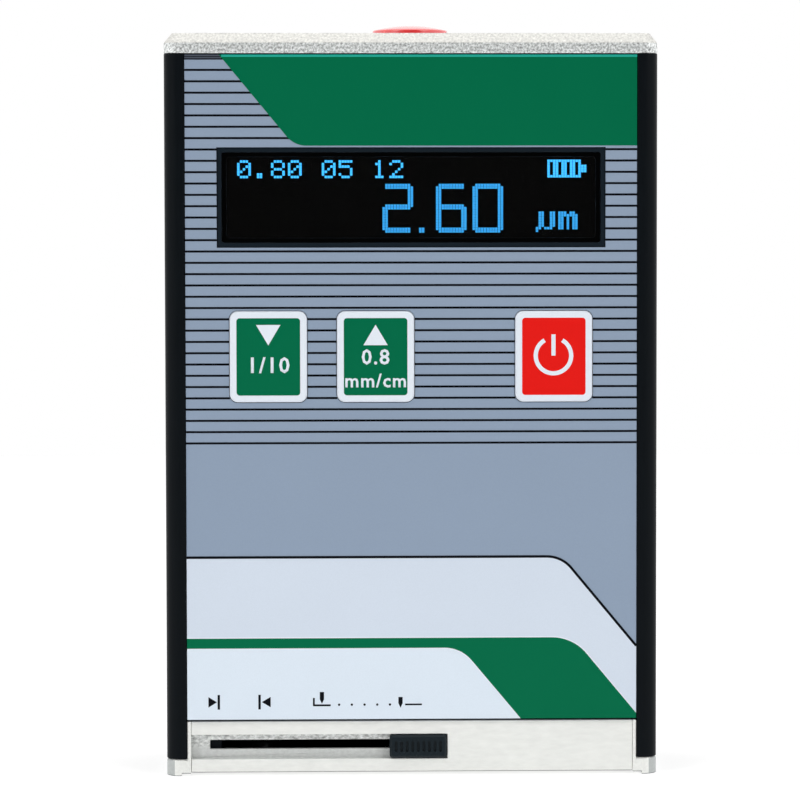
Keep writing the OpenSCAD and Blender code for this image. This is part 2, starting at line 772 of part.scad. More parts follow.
module drive_frame() color(silver) difference() {
    union() {
        box(foot_x0, foot_x1, foot_y0, frame_yb, ledge_z, frame_z0);
        box(frame_x0, frame_x1 + frame_t, frame_yb - frame_web, frame_yb, ledge_z, screw_z + web_rise);
        box(frame_x0, frame_x0 + frame_t, frame_yf, frame_yb, frame_z0, screw_z + wall_rise);
        box(frame_x1, frame_x1 + frame_t, frame_yf, frame_yb, frame_z0, motor_z + motor_wall_rise);
    }
    box(frame_x0 - 1, frame_x0 + frame_t + 1, arm_gap_y0, arm_gap_y1, frame_z0 - 1, arm_gap_z);
    for (x = [frame_x0, frame_x1]) {
        rod_x(x - 1, x + frame_t + 1, bush_r, screw_y, screw_z);
        rod_x(x - 1, x + frame_t + 1, guide_r, guide_y, screw_z);
    }
    rod_x(frame_x1 - 1, frame_x1 + frame_t + 1, boss_r, screw_y, motor_z);
    for (s = [-1, 1]) {
        rod_x(frame_x1 - 1, frame_x1 + frame_t + 1, mount_r + 0.1, screw_y + s * mount_dy, motor_z);
    }
    for (x = [foot_x0 + foot_screw_in, foot_x1 - foot_screw_in]) {
        rod_z(ledge_z - 1, frame_z0 + 1, m2_r + 0.2, x, foot_screw_y);
    }
}

module drive_frame_screws() color(steel) {
    for (x = [foot_x0 + foot_screw_in, foot_x1 - foot_screw_in]) translate([x, foot_screw_y, frame_z0])
        pan_screw(m2_r, m2_head_r, m2_head_h, m2_l);
}

module drive_motor() color(steel) difference() {
    union() {
        rod_x(motor_x0, frame_x1, motor_r, screw_y, motor_z);
        rod_x(frame_x1 - eps, frame_x1 + frame_t - eps, boss_r, screw_y, motor_z);
    }
    rod_x(frame_x1 - shaft_in - slide_gap, frame_x1 + frame_t + 1, shaft_r + fit_gap, screw_y, motor_z);
    for (s = [-1, 1]) rod_x(frame_x1 - 2, frame_x1 + 1, mount_r + 0.01, screw_y + s * mount_dy, motor_z);
}

module motor_screws() color(steel) {
    for (s = [-1, 1]) translate([frame_x1 + frame_t, screw_y + s * mount_dy, motor_z])
        rotate([0, 90, 0]) pan_screw(mount_r, mount_head_r, mount_head_h, frame_t + 1.6);
}

module motor_shaft() color(steel) {
    rod_x(frame_x1 - shaft_in, gear_x0 + gear_t + shaft_out, shaft_r, screw_y, motor_z);
}

module motor_pinion() color(brass) difference() {
    translate([gear_x0, screw_y, motor_z]) rotate([90, 0, 90]) linear_extrude(gear_t)
        rotate(270 + 180 / pinion_teeth) gear_outline(pinion_teeth, gear_module);
    rod_x(gear_x0 - 1, gear_x0 + gear_t + 1, shaft_r, screw_y, motor_z);
}

module screw_gear() color(brass) difference() {
    translate([gear_x0, screw_y, screw_z]) rotate([90, 0, 90]) linear_extrude(gear_t)
        rotate(90) gear_outline(gear_teeth, gear_module);
    rod_x(gear_x0 - 1, gear_x0 + gear_t + 1, journal_r, screw_y, screw_z);
}

module lead_screw() color(steel) {
    rod_x(frame_x0 + frame_t + slide_gap, frame_x1 - slide_gap, screw_r, screw_y, screw_z);
    rod_x(frame_x0, gear_x0 + gear_t + shaft_out, journal_r, screw_y, screw_z);
}

module screw_bushes() color(brass) {
    for (x = [frame_x0, frame_x1]) difference() {
        rod_x(x, x + frame_t, bush_r, screw_y, screw_z);
        rod_x(x - 1, x + frame_t + 1, journal_r + fit_gap, screw_y, screw_z);
    }
}

module guide_rod() color(steel) {
    rod_x(frame_x0, frame_x1 + frame_t, guide_r, guide_y, screw_z);
}

module carriage() color(black) difference() {
    union() {
        box(car_x0, car_x1, frame_yf, frame_yb - frame_web - 0.4, car_z0, car_z1);
        for (s = [-1, 1]) {
            y = s * (ear_y + car_slot_y) / 2;
            h = (ear_y - car_slot_y) / 2;
            box(pivot_x - ear_half, pivot_x + ear_half, y - h, y + h, ear_z, car_z0 + eps);
        }
    }
    box(car_x0 - 1, car_x1 + 1, -car_slot_y, car_slot_y, car_z0 - 1, car_slot_z);
    rod_x(car_x0 - 1, car_x1 + 1, guide_r + fit_gap, guide_y, screw_z);
    rod_x(car_x0 - 1, car_x1 + 1, nut_r, screw_y, screw_z);
    rod_y(-ear_y - 1, ear_y + 1, pivot_r, pivot_x, pivot_z);
}

module drive_nut() color(brass) difference() {
    rod_x(car_x0, car_x1, nut_r, screw_y, screw_z);
    rod_x(car_x0 - 1, car_x1 + 1, screw_r + fit_gap, screw_y, screw_z);
}

module pivot_pin() color(steel) {
    rod_y(-ear_y, ear_y, pivot_r, pivot_x, pivot_z);
}

module pickup_body() color(steel) difference() {
    union() {
        box(ramp_x0 - 3 * pin_r, pivot_x, -arm_y, arm_y, arm_z0, arm_z1);
        rod_y(-arm_y, arm_y, arm_z1 - pivot_z, pivot_x, pivot_z);
        rod_x(stylus_x + tip_half, ramp_x0 - 2 * pin_r, tube_r, 0, pivot_z);
        box(stylus_x - tip_half, stylus_x + tip_half + eps, -tip_y, tip_y, tip_z0, tip_z1);
        box(ramp_x0 - 2 * pin_r, ramp_x0 + 2 * pin_r, -arm_y, 0, pin_z - 1.6 * pin_r, arm_z0 + eps);
    }
    rod_y(-arm_y - 1, arm_y + 1, pivot_r + fit_gap, pivot_x, pivot_z);
    rod_z(tip_z0 - 1, tip_z0 + 2, 0.9, stylus_x, 0);
    rod_y(-arm_y - 1, -0.6, pin_r, ramp_x0, pin_z);
}

module lift_pin() color(steel) {
    rod_y(ramp_y0 + 0.1, -0.6, pin_r, ramp_x0, pin_z);
}

module skid() color(steel) difference() {
    union() {
        intersection() {
            rod_z(skid_z, tip_z0, skid_r, stylus_x, 0);
            translate([stylus_x, 0, skid_z + 3]) sphere(3);
        }
        rod_z(skid_z + 2.4, tip_z0, skid_r, stylus_x, 0);
        rod_z(tip_z0 - eps, tip_z0 + 2, 0.9, stylus_x, 0);
    }
    rod_z(skid_z - 1, tip_z0 + 1.2, stylus_r + 0.1, stylus_x, 0);
}

module stylus() color([0.75, 0.8, 0.85]) {
    rod_z(stylus_z + 0.5, tip_z0 + 1.2, stylus_r, stylus_x, 0);
    translate([stylus_x, 0, stylus_z]) cylinder(h = 0.5, r1 = 0.02, r2 = stylus_r);
}

module pickup_spring() color(steel) {
    box(car_x0 - 5, car_x0 - 0.3, -1, 1, arm_z1, arm_z1 + 0.15);
    box(car_x0 - 0.3, car_x0, -1, 1, arm_z1, car_z1 - 1);
}

housing();
top_cap();
top_cap_screws();
start_button();
start_board();
start_board_screws();
start_switch();
panel_overlay();
display_frame();
display_window();
display_module();
display_pad();
key_down();
key_up();
key_power();
key_switches();
main_board();
circuit_chips();
charge_socket();
battery();
battery_pad();
base_cap();
base_cap_screws();
slot_plate();
shutter_knob();
shutter_blade();
drive_frame();
drive_frame_screws();
drive_motor();
motor_screws();
motor_shaft();
motor_pinion();
screw_gear();
lead_screw();
screw_bushes();
guide_rod();
carriage();
drive_nut();
pivot_pin();
pickup_body();
lift_pin();
skid();
stylus();
pickup_spring();
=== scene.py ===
"""Finishes, panel print and studio for a pocket surface roughness tester, in metres."""

import json
import math

import bmesh
import bpy
from mathutils import Matrix, Vector


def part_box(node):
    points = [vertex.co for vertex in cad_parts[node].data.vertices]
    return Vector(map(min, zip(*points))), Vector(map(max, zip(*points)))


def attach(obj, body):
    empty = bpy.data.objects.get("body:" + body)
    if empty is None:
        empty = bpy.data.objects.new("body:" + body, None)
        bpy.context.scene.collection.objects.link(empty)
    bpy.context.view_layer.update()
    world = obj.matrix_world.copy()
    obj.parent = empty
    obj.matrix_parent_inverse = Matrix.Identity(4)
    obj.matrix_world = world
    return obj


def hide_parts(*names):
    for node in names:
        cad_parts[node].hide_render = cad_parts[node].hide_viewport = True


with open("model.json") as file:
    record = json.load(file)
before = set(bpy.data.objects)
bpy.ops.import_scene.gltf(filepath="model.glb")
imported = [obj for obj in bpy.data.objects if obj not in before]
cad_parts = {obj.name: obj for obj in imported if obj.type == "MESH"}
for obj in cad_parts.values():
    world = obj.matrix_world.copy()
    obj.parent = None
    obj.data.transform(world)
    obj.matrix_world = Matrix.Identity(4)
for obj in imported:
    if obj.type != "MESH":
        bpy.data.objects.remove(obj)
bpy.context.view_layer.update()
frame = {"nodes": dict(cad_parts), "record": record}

bl_info = {
    "name": "Pocket roughness tester",
    "version": (1, 0, 0),
    "blender": (4, 5, 0),
    "location": "View3D > Sidebar > Tester",
    "description": "Dresses the packed tester with finishes, panel print and a studio",
    "category": "Object",
}

MM = 0.001
BODIES = frame["record"]["behaviour"]["bodies"]
BODY_OF = {node: body for body, nodes in BODIES.items() for node in nodes}

# Width of the picture in pixels, and of the camera's sensor in millimetres
PICTURE = 800
SENSOR = 36.0


def srgb(red, green, blue):
    """A colour of 0 to 255 steps as the linear numbers that shaders use."""
    steps = [value / 255 for value in (red, green, blue)]
    return [v / 12.92 if v <= 0.04045 else ((v + 0.055) / 1.055) ** 2.4 for v in steps]


def length(name, description, default_mm):
    """A property that holds a length, given in millimetres."""
    return bpy.props.FloatProperty(
        name=name, description=description, default=default_mm * MM, unit="LENGTH", precision=5)


def colour(name, description, red, green, blue):
    """A property that holds a colour, given in steps of 0 to 255."""
    return bpy.props.FloatVectorProperty(
        name=name, description=description, default=srgb(red, green, blue),
        subtype="COLOR", size=3, min=0.0, max=1.0)


def angle(name, description, degrees):
    """A property that holds an angle, given in degrees."""
    return bpy.props.FloatProperty(
        name=name, description=description, default=math.radians(degrees), subtype="ANGLE")


class TesterPrint(bpy.types.PropertyGroup):
    """Sizes of the print on the panel film, the keys and the display."""

    ink: length("Ink thickness", "Thickness of one printed layer", 0.015)
    stripe_pitch: length("Stripe pitch", "Distance between two thin lines", 1.601)
    stripe_width: length("Stripe width", "Thickness of a thin line", 0.3)
    stripe_low: length("Lowest stripe", "Height of the lowest thin line", 47.52)
    band_low: length("Header band", "Height of the lower edge of the header band", 89.68)
    rule_z: length("Field line", "Height of the black line over the pale field", 31.24)
    rule_width: length("Field line width", "Thickness of that line", 0.36)
    sash_top: length("Sash top", "Height of the upper edge of the green sash", 19.66)
    sash_low: length("Sash bottom", "Height of the lower edge of the green sash", 18.23)
    key_border: length("Key border", "Width of the white border of a key", 0.97)
    dot_pitch: length("Dot pitch", "Distance between two columns of dots", 0.4)
    dot_rise: length("Dot rise", "Distance between two rows of dots", 0.366)
    dot_size: length("Dot size", "Width of one dot of the display", 0.34)


class TesterColours(bpy.types.PropertyGroup):
    """Colours of the finishes, and of the painted shade and the painted highlight on some faces."""

    anodised: colour("Anodised", "Black anodised housing", 10, 15, 19)
    aluminium: colour("Aluminium", "Blasted top cap", 222, 225, 224)
    chamfer: colour("Chamfer", "Bright edge of the top cap", 221, 220, 215)
    bright: colour("Bright aluminium", "Base and its slot plate", 241, 242, 238)
    # Painted shade: the rounded ends of the base toned darker where they turn from the light
    base_end: colour("Base ends", "Rounded ends of the base", 186, 190, 189)
    # Painted shade: the bevel along the base's lower edge toned dark where it faces the floor
    base_edge_shade: colour("Base edge", "Lower edge of the base", 96, 100, 103)
    # Painted shade: the milled window toned darker than the plate's face
    recess: colour("Recess", "Milled window of the slot plate", 214, 216, 214)
    steel: colour("Steel", "Screws and shafts", 176, 178, 182)
    brass: colour("Brass", "Gears, bushes and nut", 201, 164, 92)
    film: colour("Film", "Grey blue ground of the panel film", 146, 162, 183)
    pale: colour("Pale field", "Lower field of the panel", 214, 224, 237)
    paler: colour("Lowest field", "Field under the sash", 224, 235, 246)
    green: colour("Green", "Header band, sash and two keys", 0, 107, 71)
    # Painted highlight: the lit cut edge along the top of the film
    edge_highlight: colour("Film edge", "Cut edge of the film that takes the light", 38, 168, 148)
    line: colour("Line ink", "Thin black lines", 12, 14, 20)
    white: colour("White ink", "Symbols and key borders", 232, 239, 248)
    red: colour("Red", "Power key", 233, 28, 23)
    button: colour("Button", "Start button", 250, 60, 62)
    slate: colour("Slate", "Frame of the display", 20, 30, 38)
    glow: colour("Dots", "Lit dots of the large figures", 45, 148, 212)
    glow_small: colour("Bright dots", "Lit dots of the small line", 62, 184, 250)
    # Painted shade: the film's top edge darkened under the top cap
    film_shade: colour("Film shade", "Film edge under the top cap", 78, 84, 96)
    rubber: colour("Knob", "Shutter knob", 10, 24, 31)
    board: colour("Board", "Circuit boards", 18, 92, 60)
    foam: colour("Foam", "Pads", 84, 86, 88)
    cell: colour("Cell", "Battery pouch", 186, 190, 194)
    floor: colour("Floor", "Studio floor", 176, 176, 176)


class TesterStage(bpy.types.PropertyGroup):
    """Camera of the studio."""

    eye: bpy.props.FloatVectorProperty(
        name="Eye", description="Place of the camera", default=(-0.008, -0.532, 0.085),
        subtype="TRANSLATION", unit="LENGTH")
    yaw: angle("Yaw", "Turn of the camera to the left", -1.51)
    pitch: angle("Pitch", "Tilt of the camera downwards", 3.06)
    roll: angle("Roll", "Roll of the camera", -0.055)
    focal_px: bpy.props.FloatProperty(
        name="Focal length", description="Focal length in pixels of the picture", default=3669.6)
    centre_px: bpy.props.FloatVectorProperty(
        name="Centre", description="Pixel of the picture that the camera axis meets",
        default=(451.8, 374.8), size=2)


def print_sizes():
    """The sizes of the print in this scene."""
    return bpy.context.scene.tester_print


def palette():
    """The colours of the finishes in this scene, with the painted shade and highlight among them.
    """
    return bpy.context.scene.tester_colours


# Finishes

# Linear tones that aren't among the colours above
# Tone of the blackened blade and pick-up, also used as painted shade inside the base
BLACKENED_AND_SHADE = (0.012, 0.013, 0.014)
CHIP = (0.02, 0.02, 0.022)
UNLIT = (0.0012, 0.0009, 0.0007)
CLEAR = (0.86, 0.88, 0.9)


def add_node(tree, kind, **values):
    """A node of a tree, with its plain fields set."""
    node = tree.nodes.new(kind)
    for key, value in values.items():
        setattr(node, key, value)
    return node


def set_inputs(node, values):
    """Set the sockets of a node that nothing is linked to, by label or number."""
    for label, value in values.items():
        node.inputs[label].default_value = value


def new_tree(name, kind, inputs, outputs):
    """A group of nodes with its sockets, and its input and output nodes."""
    tree = bpy.data.node_groups.new(name, kind)
    for way, sockets in (("INPUT", inputs), ("OUTPUT", outputs)):
        for label, sort in sockets.items():
            tree.interface.new_socket(label, in_out=way, socket_type="NodeSocket" + sort)
    return tree, add_node(tree, "NodeGroupInput"), add_node(tree, "NodeGroupOutput")


def wire(tree, *links):
    """Link nodes. A link is a node, its output, the next node and the input there."""
    for source, output, target, entry in links:
        tree.links.new(source.outputs[output], target.inputs[entry])


def grain_group():
    """Shader group: colour, roughness and height that vary with a fine grain and a slow mottle."""
    name = "Surface grain"
    if name in bpy.data.node_groups:
        return bpy.data.node_groups[name]
    tree, given, result = new_tree(
        name, "ShaderNodeTree",
        {"Colour": "Color", "Scale": "Float", "Stretch": "Vector", "Spread": "Float",
         "Roughness": "Float", "Rough spread": "Float", "Mottle": "Float"},
        {"Colour": "Color", "Roughness": "Float", "Height": "Float"})
    place = add_node(tree, "ShaderNodeTexCoord")
    stretched = add_node(tree, "ShaderNodeVectorMath", operation="MULTIPLY")
    fine = add_node(tree, "ShaderNodeTexNoise")
    set_inputs(fine, {"Detail": 3.0, "Roughness": 0.65})
    slow = add_node(tree, "ShaderNodeTexNoise")
    set_inputs(slow, {"Scale": 90.0, "Detail": 2.0})
    blend = add_node(tree, "ShaderNodeMix", data_type="FLOAT")
    centred = add_node(tree, "ShaderNodeMath", operation="SUBTRACT")
    set_inputs(centred, {1: 0.5})
    swing = add_node(tree, "ShaderNodeMath", operation="MULTIPLY_ADD")
    set_inputs(swing, {2: 1.0})
    tinted = add_node(tree, "ShaderNodeVectorMath", operation="SCALE")
    rough = add_node(tree, "ShaderNodeMath", operation="MULTIPLY_ADD", use_clamp=True)
    wire(tree, (place, "Object", stretched, 0), (given, "Stretch", stretched, 1),
         (stretched, 0, fine, "Vector"), (given, "Scale", fine, "Scale"),
         (place, "Object", slow, "Vector"), (given, "Mottle", blend, "Factor"),
         (fine, "Fac", blend, "A"), (slow, "Fac", blend, "B"), (blend, "Result", centred, 0),
         (centred, 0, swing, 0), (given, "Spread", swing, 1),
         (given, "Colour", tinted, 0), (swing, 0, tinted, "Scale"),
         (centred, 0, rough, 0), (given, "Rough spread", rough, 1),
         (given, "Roughness", rough, 2), (tinted, 0, result, "Colour"),
         (rough, 0, result, "Roughness"), (fine, "Fac", result, "Height"))
    return tree


def grain_of(material):
    """The node of the grain group in a finish."""
    return next(node for node in material.node_tree.nodes if node.type == "GROUP")


def finish(name, tone, scale=2500.0, stretch=(1, 1, 1), spread=0.2, mottle=0.3, rough=0.45,
           rough_spread=0.2, bump=0.1, depth=0.02, **shader):
    """A material of one finish. Extra values go straight to the shader's own sockets."""
    label = "finish_" + name
    if label in bpy.data.materials:
        return bpy.data.materials[label]
    material = bpy.data.materials.new(label)
    material.use_nodes = True
    tree = material.node_tree
    principled = tree.nodes["Principled BSDF"]
    grain = add_node(tree, "ShaderNodeGroup", node_tree=grain_group())
    set_inputs(grain, {
        "Colour": (*tone, 1.0), "Scale": scale, "Stretch": stretch, "Spread": spread,
        "Mottle": mottle, "Roughness": rough, "Rough spread": rough_spread})
    relief = add_node(tree, "ShaderNodeBump")
    set_inputs(relief, {"Strength": bump, "Distance": depth * MM})
    wire(tree, (grain, "Colour", principled, "Base Color"),
         (grain, "Roughness", principled, "Roughness"), (grain, "Height", relief, "Height"),
         (relief, "Normal", principled, "Normal"))
    set_inputs(principled, {key.replace("_", " "): value for key, value in shader.items()})
    return material


def anodised_black():
    """Black anodised extrusion, drawn along Z."""
    return finish("anodised_black", palette().anodised, scale=3600.0, stretch=(1, 1, 0.05),
                  spread=0.7, rough=0.42, rough_spread=0.25, bump=0.25, depth=0.01,
                  Specular_IOR_Level=0.07)


def blasted(name, tone, **values):
    """Bead-blasted aluminium, as on the base where no other value is given."""
    shared = dict(scale=2600.0, spread=0.45, rough=0.5, rough_spread=0.3, bump=0.7, depth=0.03,
                  Metallic=0.25, Specular_IOR_Level=0.3)
    return finish(name, tone, **{**shared, **values})


def milled_aluminium():
    """Aluminium milled along X."""
    return finish("milled_aluminium", palette().bright, scale=1500.0, stretch=(0.3, 1, 1),
                  spread=0.3, rough=0.45, rough_spread=0.25, bump=0.3, depth=0.01,
                  Metallic=0.25, Specular_IOR_Level=0.3)


def shaded_milled_recess():
    """Pocket floor with coarse cutter marks above the slit and a clean cut below it, toned darker
    than the plate as painted shade.
    """
    material = blasted("shaded_milled_recess", palette().recess, stretch=(0.6, 1, 1), mottle=0.1, bump=0.3)
    clean, coarse = 0.5, 2.8
    blend = 0.3 * MM
    low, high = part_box("shutter_knob")
    middle = (low[2] + high[2]) / 2
    tree = material.node_tree
    place = add_node(tree, "ShaderNodeTexCoord")
    apart = add_node(tree, "ShaderNodeSeparateXYZ")
    rise = add_node(tree, "ShaderNodeMapRange")
    set_inputs(rise, {"From Min": middle - blend, "From Max": middle + blend,
                      "To Min": clean, "To Max": coarse})
    wire(tree, (place, "Object", apart, 0), (apart, "Z", rise, "Value"),
         (rise, "Result", grain_of(material), "Spread"))
    return material


def blackened_steel_and_shade():
    """Black finish of the blade and the pick-up, also laid on the inside of the base as painted
    shade.
    """
    return finish("blackened_steel_and_shade", BLACKENED_AND_SHADE, scale=2400.0, spread=0.6, rough=0.5, bump=0.2,
                  depth=0.006, Specular_IOR_Level=0.05)


def bare_metal(name, tone, **values):
    """Turned or drawn metal with no coating."""
    return finish(name, tone, rough=0.3, bump=0.2, depth=0.006, Metallic=1.0, **values)


def ink(name, tone):
    """Ink on textured film."""
    return finish("ink_" + name, tone, scale=5200.0, spread=0.12, rough=0.42, rough_spread=0.15,
                  bump=0.18, depth=0.008, Specular_IOR_Level=0.06)


def moulded(name, tone, **values):
    """Moulded plastic with a fine spark texture."""
    shared = dict(scale=4200.0, spread=0.3, rough=0.4, rough_spread=0.25, bump=0.3, depth=0.012,
                  Specular_IOR_Level=0.08)
    return finish(name, tone, **{**shared, **values})


def display_glass():
    """Clear window with a faint smoke tint."""
    return finish("display_glass", CLEAR, scale=140.0, spread=0.05, rough=0.03, rough_spread=0.02,
                  bump=0.01, depth=0.001, Transmission_Weight=1.0, IOR=1.45,
                  Specular_IOR_Level=0.2)


def lit_dots(name, tone):
    """Dots of the display that give their own light."""
    material = finish("lit_" + name, tone, scale=2600.0, spread=0.3, rough=0.5,
                      Emission_Strength=1.3)
    tree = material.node_tree
    wire(tree, (grain_of(material), "Colour", tree.nodes["Principled BSDF"], "Emission Color"))
    return material


# Shapes

# Merging of the solids' triangles, and the breaks along their sharp edges
WELD = 0.001 * MM
FLAT_TURN = math.radians(0.6)
SHARP_TURN = math.radians(35.0)
EDGE_SEGMENTS = 2
FLAT_WEIGHT = 100

# Least cosine at a bend of a line, and the figures' weight, spacing and curve steps
BEND_LIMIT = 0.3
FIGURE_WEIGHT = 0.018
FIGURE_SPACING = 1.12
FIGURE_STEPS = 2


def dress(mesh, material):
    """Give a mesh one material in place of those that it has."""
    mesh.materials.clear()
    mesh.materials.append(material)


def dress_node(node, material):
    """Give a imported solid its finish."""
    dress(frame["nodes"][node].data, material)


def add_object(name, data):
    """An object of the scene."""
    item = bpy.data.objects.new(name, data)
    bpy.context.scene.collection.objects.link(item)
    return item


def piece_from(name, mesh, material, body):
    """An object of a finished mesh that rides on a body."""
    dress(mesh, material)
    piece = add_object(name, mesh)
    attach(piece, body)
    return piece


def mesh_from(name, shape):
    """A plain mesh of a finished edit mesh, which is freed."""
    mesh = bpy.data.meshes.new(name)
    shape.to_mesh(mesh)
    shape.free()
    return mesh


def outward(name, shape):
    """A plain mesh with its faces turned outwards."""
    bmesh.ops.recalc_face_normals(shape, faces=shape.faces)
    return mesh_from(name, shape)


def evaluated(carrier):
    """The plain mesh that an object's modifiers give. The object is removed."""
    bpy.context.view_layer.update()
    graph = bpy.context.evaluated_depsgraph_get()
    mesh = bpy.data.meshes.new_from_object(carrier.evaluated_get(graph))
    bpy.data.objects.remove(carrier)
    return mesh


def softened(node, name, material, edge_mm, zones=()):
    """A copy of a solid with its sharp edges broken, which stands for that solid.

    A zone is another material and the test that picks its faces.
    """
    shape = bmesh.new()
    shape.from_mesh(frame["nodes"][node].data)
    bmesh.ops.remove_doubles(shape, verts=shape.verts, dist=WELD)
    bmesh.ops.dissolve_limit(
        shape, angle_limit=FLAT_TURN, verts=shape.verts, edges=shape.edges)
    mesh = mesh_from(name, shape)
    mesh.shade_smooth()
    carrier = add_object(name + "_carrier", mesh)
    bevel = carrier.modifiers.new("edge_break", "BEVEL")
    bevel.width = edge_mm * MM
    bevel.segments = EDGE_SEGMENTS
    bevel.limit_method = "ANGLE"
    bevel.angle_limit = SHARP_TURN
    bevel.use_clamp_overlap = False
    weighted = carrier.modifiers.new("flat_faces", "WEIGHTED_NORMAL")
    weighted.weight = FLAT_WEIGHT
    done = evaluated(carrier)
    piece = piece_from(name, done, material, BODY_OF[node])
    for index, (other, picks) in enumerate(zones, 1):
        done.materials.append(other)
        for face in done.polygons:
            if picks(face):
                face.material_index = index
    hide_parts(node)
    return piece


def rounded_path(corners, radii, closed=True, steps=10):
    """Points of a path whose corners are rounded. A radius of 0 keeps the corner."""
    points = []
    count = len(corners)
    for i, (corner, radius) in enumerate(zip(corners, radii)):
        at = Vector(corner)
        if radius == 0 or (not closed and i in (0, count - 1)):
            points.append(tuple(at))
            continue
        back = (Vector(corners[i - 1]) - at).normalized()
        ahead = (Vector(corners[(i + 1) % count]) - at).normalized()
        half = math.acos(max(-1.0, min(1.0, back.dot(ahead)))) / 2
        centre = at + (back + ahead).normalized() * (radius / math.sin(half))
        start = at + back * (radius / math.tan(half)) - centre
        end = at + ahead * (radius / math.tan(half)) - centre
        turn = math.atan2(start.x * end.y - start.y * end.x, start.dot(end))
        for k in range(steps + 1):
            spin = Matrix.Rotation(turn * k / steps, 2)
            points.append(tuple(centre + spin @ start))
    return points


def rectangle(x0, x1, z0, z1):
    """Corners of a level rectangle."""
    return [(x0, z0), (x1, z0), (x1, z1), (x0, z1)]


def stroke(path, width):
    """Outline of a line of even width along an open path."""
    left, right = [], []
    points = [Vector(p) for p in path]
    for i, at in enumerate(points):
        before = (at - points[i - 1]).normalized() if i else None
        after = (points[i + 1] - at).normalized() if i + 1 < len(points) else None
        along = ((before or after) + (after or before)).normalized()
        side = Vector((-along.y, along.x))
        other = before or after
        reach = width / 2 / max(BEND_LIMIT, side.dot(Vector((-other.y, other.x))))
        left.append(tuple(at + side * reach))
        right.append(tuple(at - side * reach))
    return left + right[::-1]


def arc(centre, radius, start, end, steps=40):
    """Points of an arc, with its angles in degrees."""
    angles = [math.radians(start + (end - start) * k / steps) for k in range(steps + 1)]
    return [(centre[0] + radius * math.cos(a), centre[1] + radius * math.sin(a)) for a in angles]


def circle(centre, radius, steps):
    """Points of a whole circle."""
    return arc(centre, radius, 0, 360 * (steps - 1) / steps, steps - 1)


def printed(name, outlines, face, layer, material, body="instrument"):
    """Printed fields that lie on a face turned to -Y, a number of ink layers over it.

    Outlines are in metres, as x and z. They reach half a layer into the face.
    """
    thickness = print_sizes().ink
    front, back = face - layer * thickness, face + thickness / 2
    shape = bmesh.new()
    for outline in outlines:
        near = [shape.verts.new((x, front, z)) for x, z in outline]
        far = [shape.verts.new((x, back, z)) for x, z in outline]
        shape.faces.new(near)
        shape.faces.new(far[::-1])
        for i in range(len(outline)):
            shape.faces.new((near[i - 1], near[i], far[i], far[i - 1]))
    return piece_from(name, outward(name, shape), material, body)


def scaled(points):
    """Points given in millimetres, in metres."""
    return [(x * MM, z * MM) for x, z in points]


def lettering(text, centre, height):
    """Flat mesh of plain figures in the built-in font, upright about a centre in x and z."""
    curve = bpy.data.curves.new("figures", "FONT")
    curve.body = text
    curve.align_x = "CENTER"
    curve.align_y = "CENTER"
    curve.resolution_u = FIGURE_STEPS
    curve.size = height
    curve.offset = FIGURE_WEIGHT * height
    curve.space_character = FIGURE_SPACING
    mesh = evaluated(add_object("figures_carrier", curve))
    bpy.data.curves.remove(curve)
    upright = Matrix.Rotation(math.pi / 2, 4, "X")
    mesh.transform(Matrix.Translation((centre[0], 0, centre[1])) @ upright)
    return mesh


# Repeated shapes made by a node tree


def block_tree():
    """Node tree that sets a block on each point, as wide as the point's span, and makes it real."""
    name = "Blocks on points"
    if name in bpy.data.node_groups:
        return bpy.data.node_groups[name]
    tree, given, result = new_tree(
        name, "GeometryNodeTree",
        {"Geometry": "Geometry", "Height": "Float", "Depth": "Float", "Material": "Material"},
        {"Geometry": "Geometry"})
    cube = add_node(tree, "GeometryNodeMeshCube")
    size = add_node(tree, "ShaderNodeCombineXYZ")
    set_inputs(size, {"X": 1.0})
    span = add_node(tree, "GeometryNodeInputNamedAttribute", data_type="FLOAT")
    set_inputs(span, {"Name": "span"})
    stretch = add_node(tree, "ShaderNodeCombineXYZ")
    set_inputs(stretch, {"Y": 1.0, "Z": 1.0})
    placed = add_node(tree, "GeometryNodeInstanceOnPoints")
    real = add_node(tree, "GeometryNodeRealizeInstances")
    painted = add_node(tree, "GeometryNodeSetMaterial")
    wire(tree, (given, "Depth", size, "Y"), (given, "Height", size, "Z"), (size, 0, cube, "Size"),
         (span, "Attribute", stretch, "X"), (given, "Geometry", placed, "Points"),
         (cube, "Mesh", placed, "Instance"), (stretch, 0, placed, "Scale"),
         (placed, "Instances", real, "Geometry"), (real, "Geometry", painted, "Geometry"),
         (given, "Material", painted, "Material"), (painted, "Geometry", result, "Geometry"))
    return tree


def repeated(name, rows, height, depth, material):
    """Plain mesh of blocks. A row is (x, y, z, span), in metres."""
    points = bpy.data.meshes.new(name + "_points")
    points.from_pydata([row[:3] for row in rows], [], [])
    spans = points.attributes.new("span", "FLOAT", "POINT")
    for entry, row in zip(spans.data, rows):
        entry.value = row[3]
    carrier = add_object(name + "_carrier", points)
    tree = block_tree()
    modifier = carrier.modifiers.new("blocks", "NODES")
    modifier.node_group = tree
    values = {"Height": height, "Depth": depth, "Material": material}
    for socket in tree.interface.items_tree:
        if socket.in_out == "INPUT" and socket.name in values:
            modifier[socket.identifier] = values[socket.name]
    mesh = evaluated(carrier)
    bpy.data.meshes.remove(points)
    left_over = mesh.attributes.get("span")
    if left_over:
        mesh.attributes.remove(left_over)
    return mesh


# Places on the panel

# Room that a thin line keeps from the display and the keys, the keys' corners and their flange
GAP = 0.04 * MM
KEY_CORNER = 1.1 * MM
KEY_FLANGE = 0.5 * MM


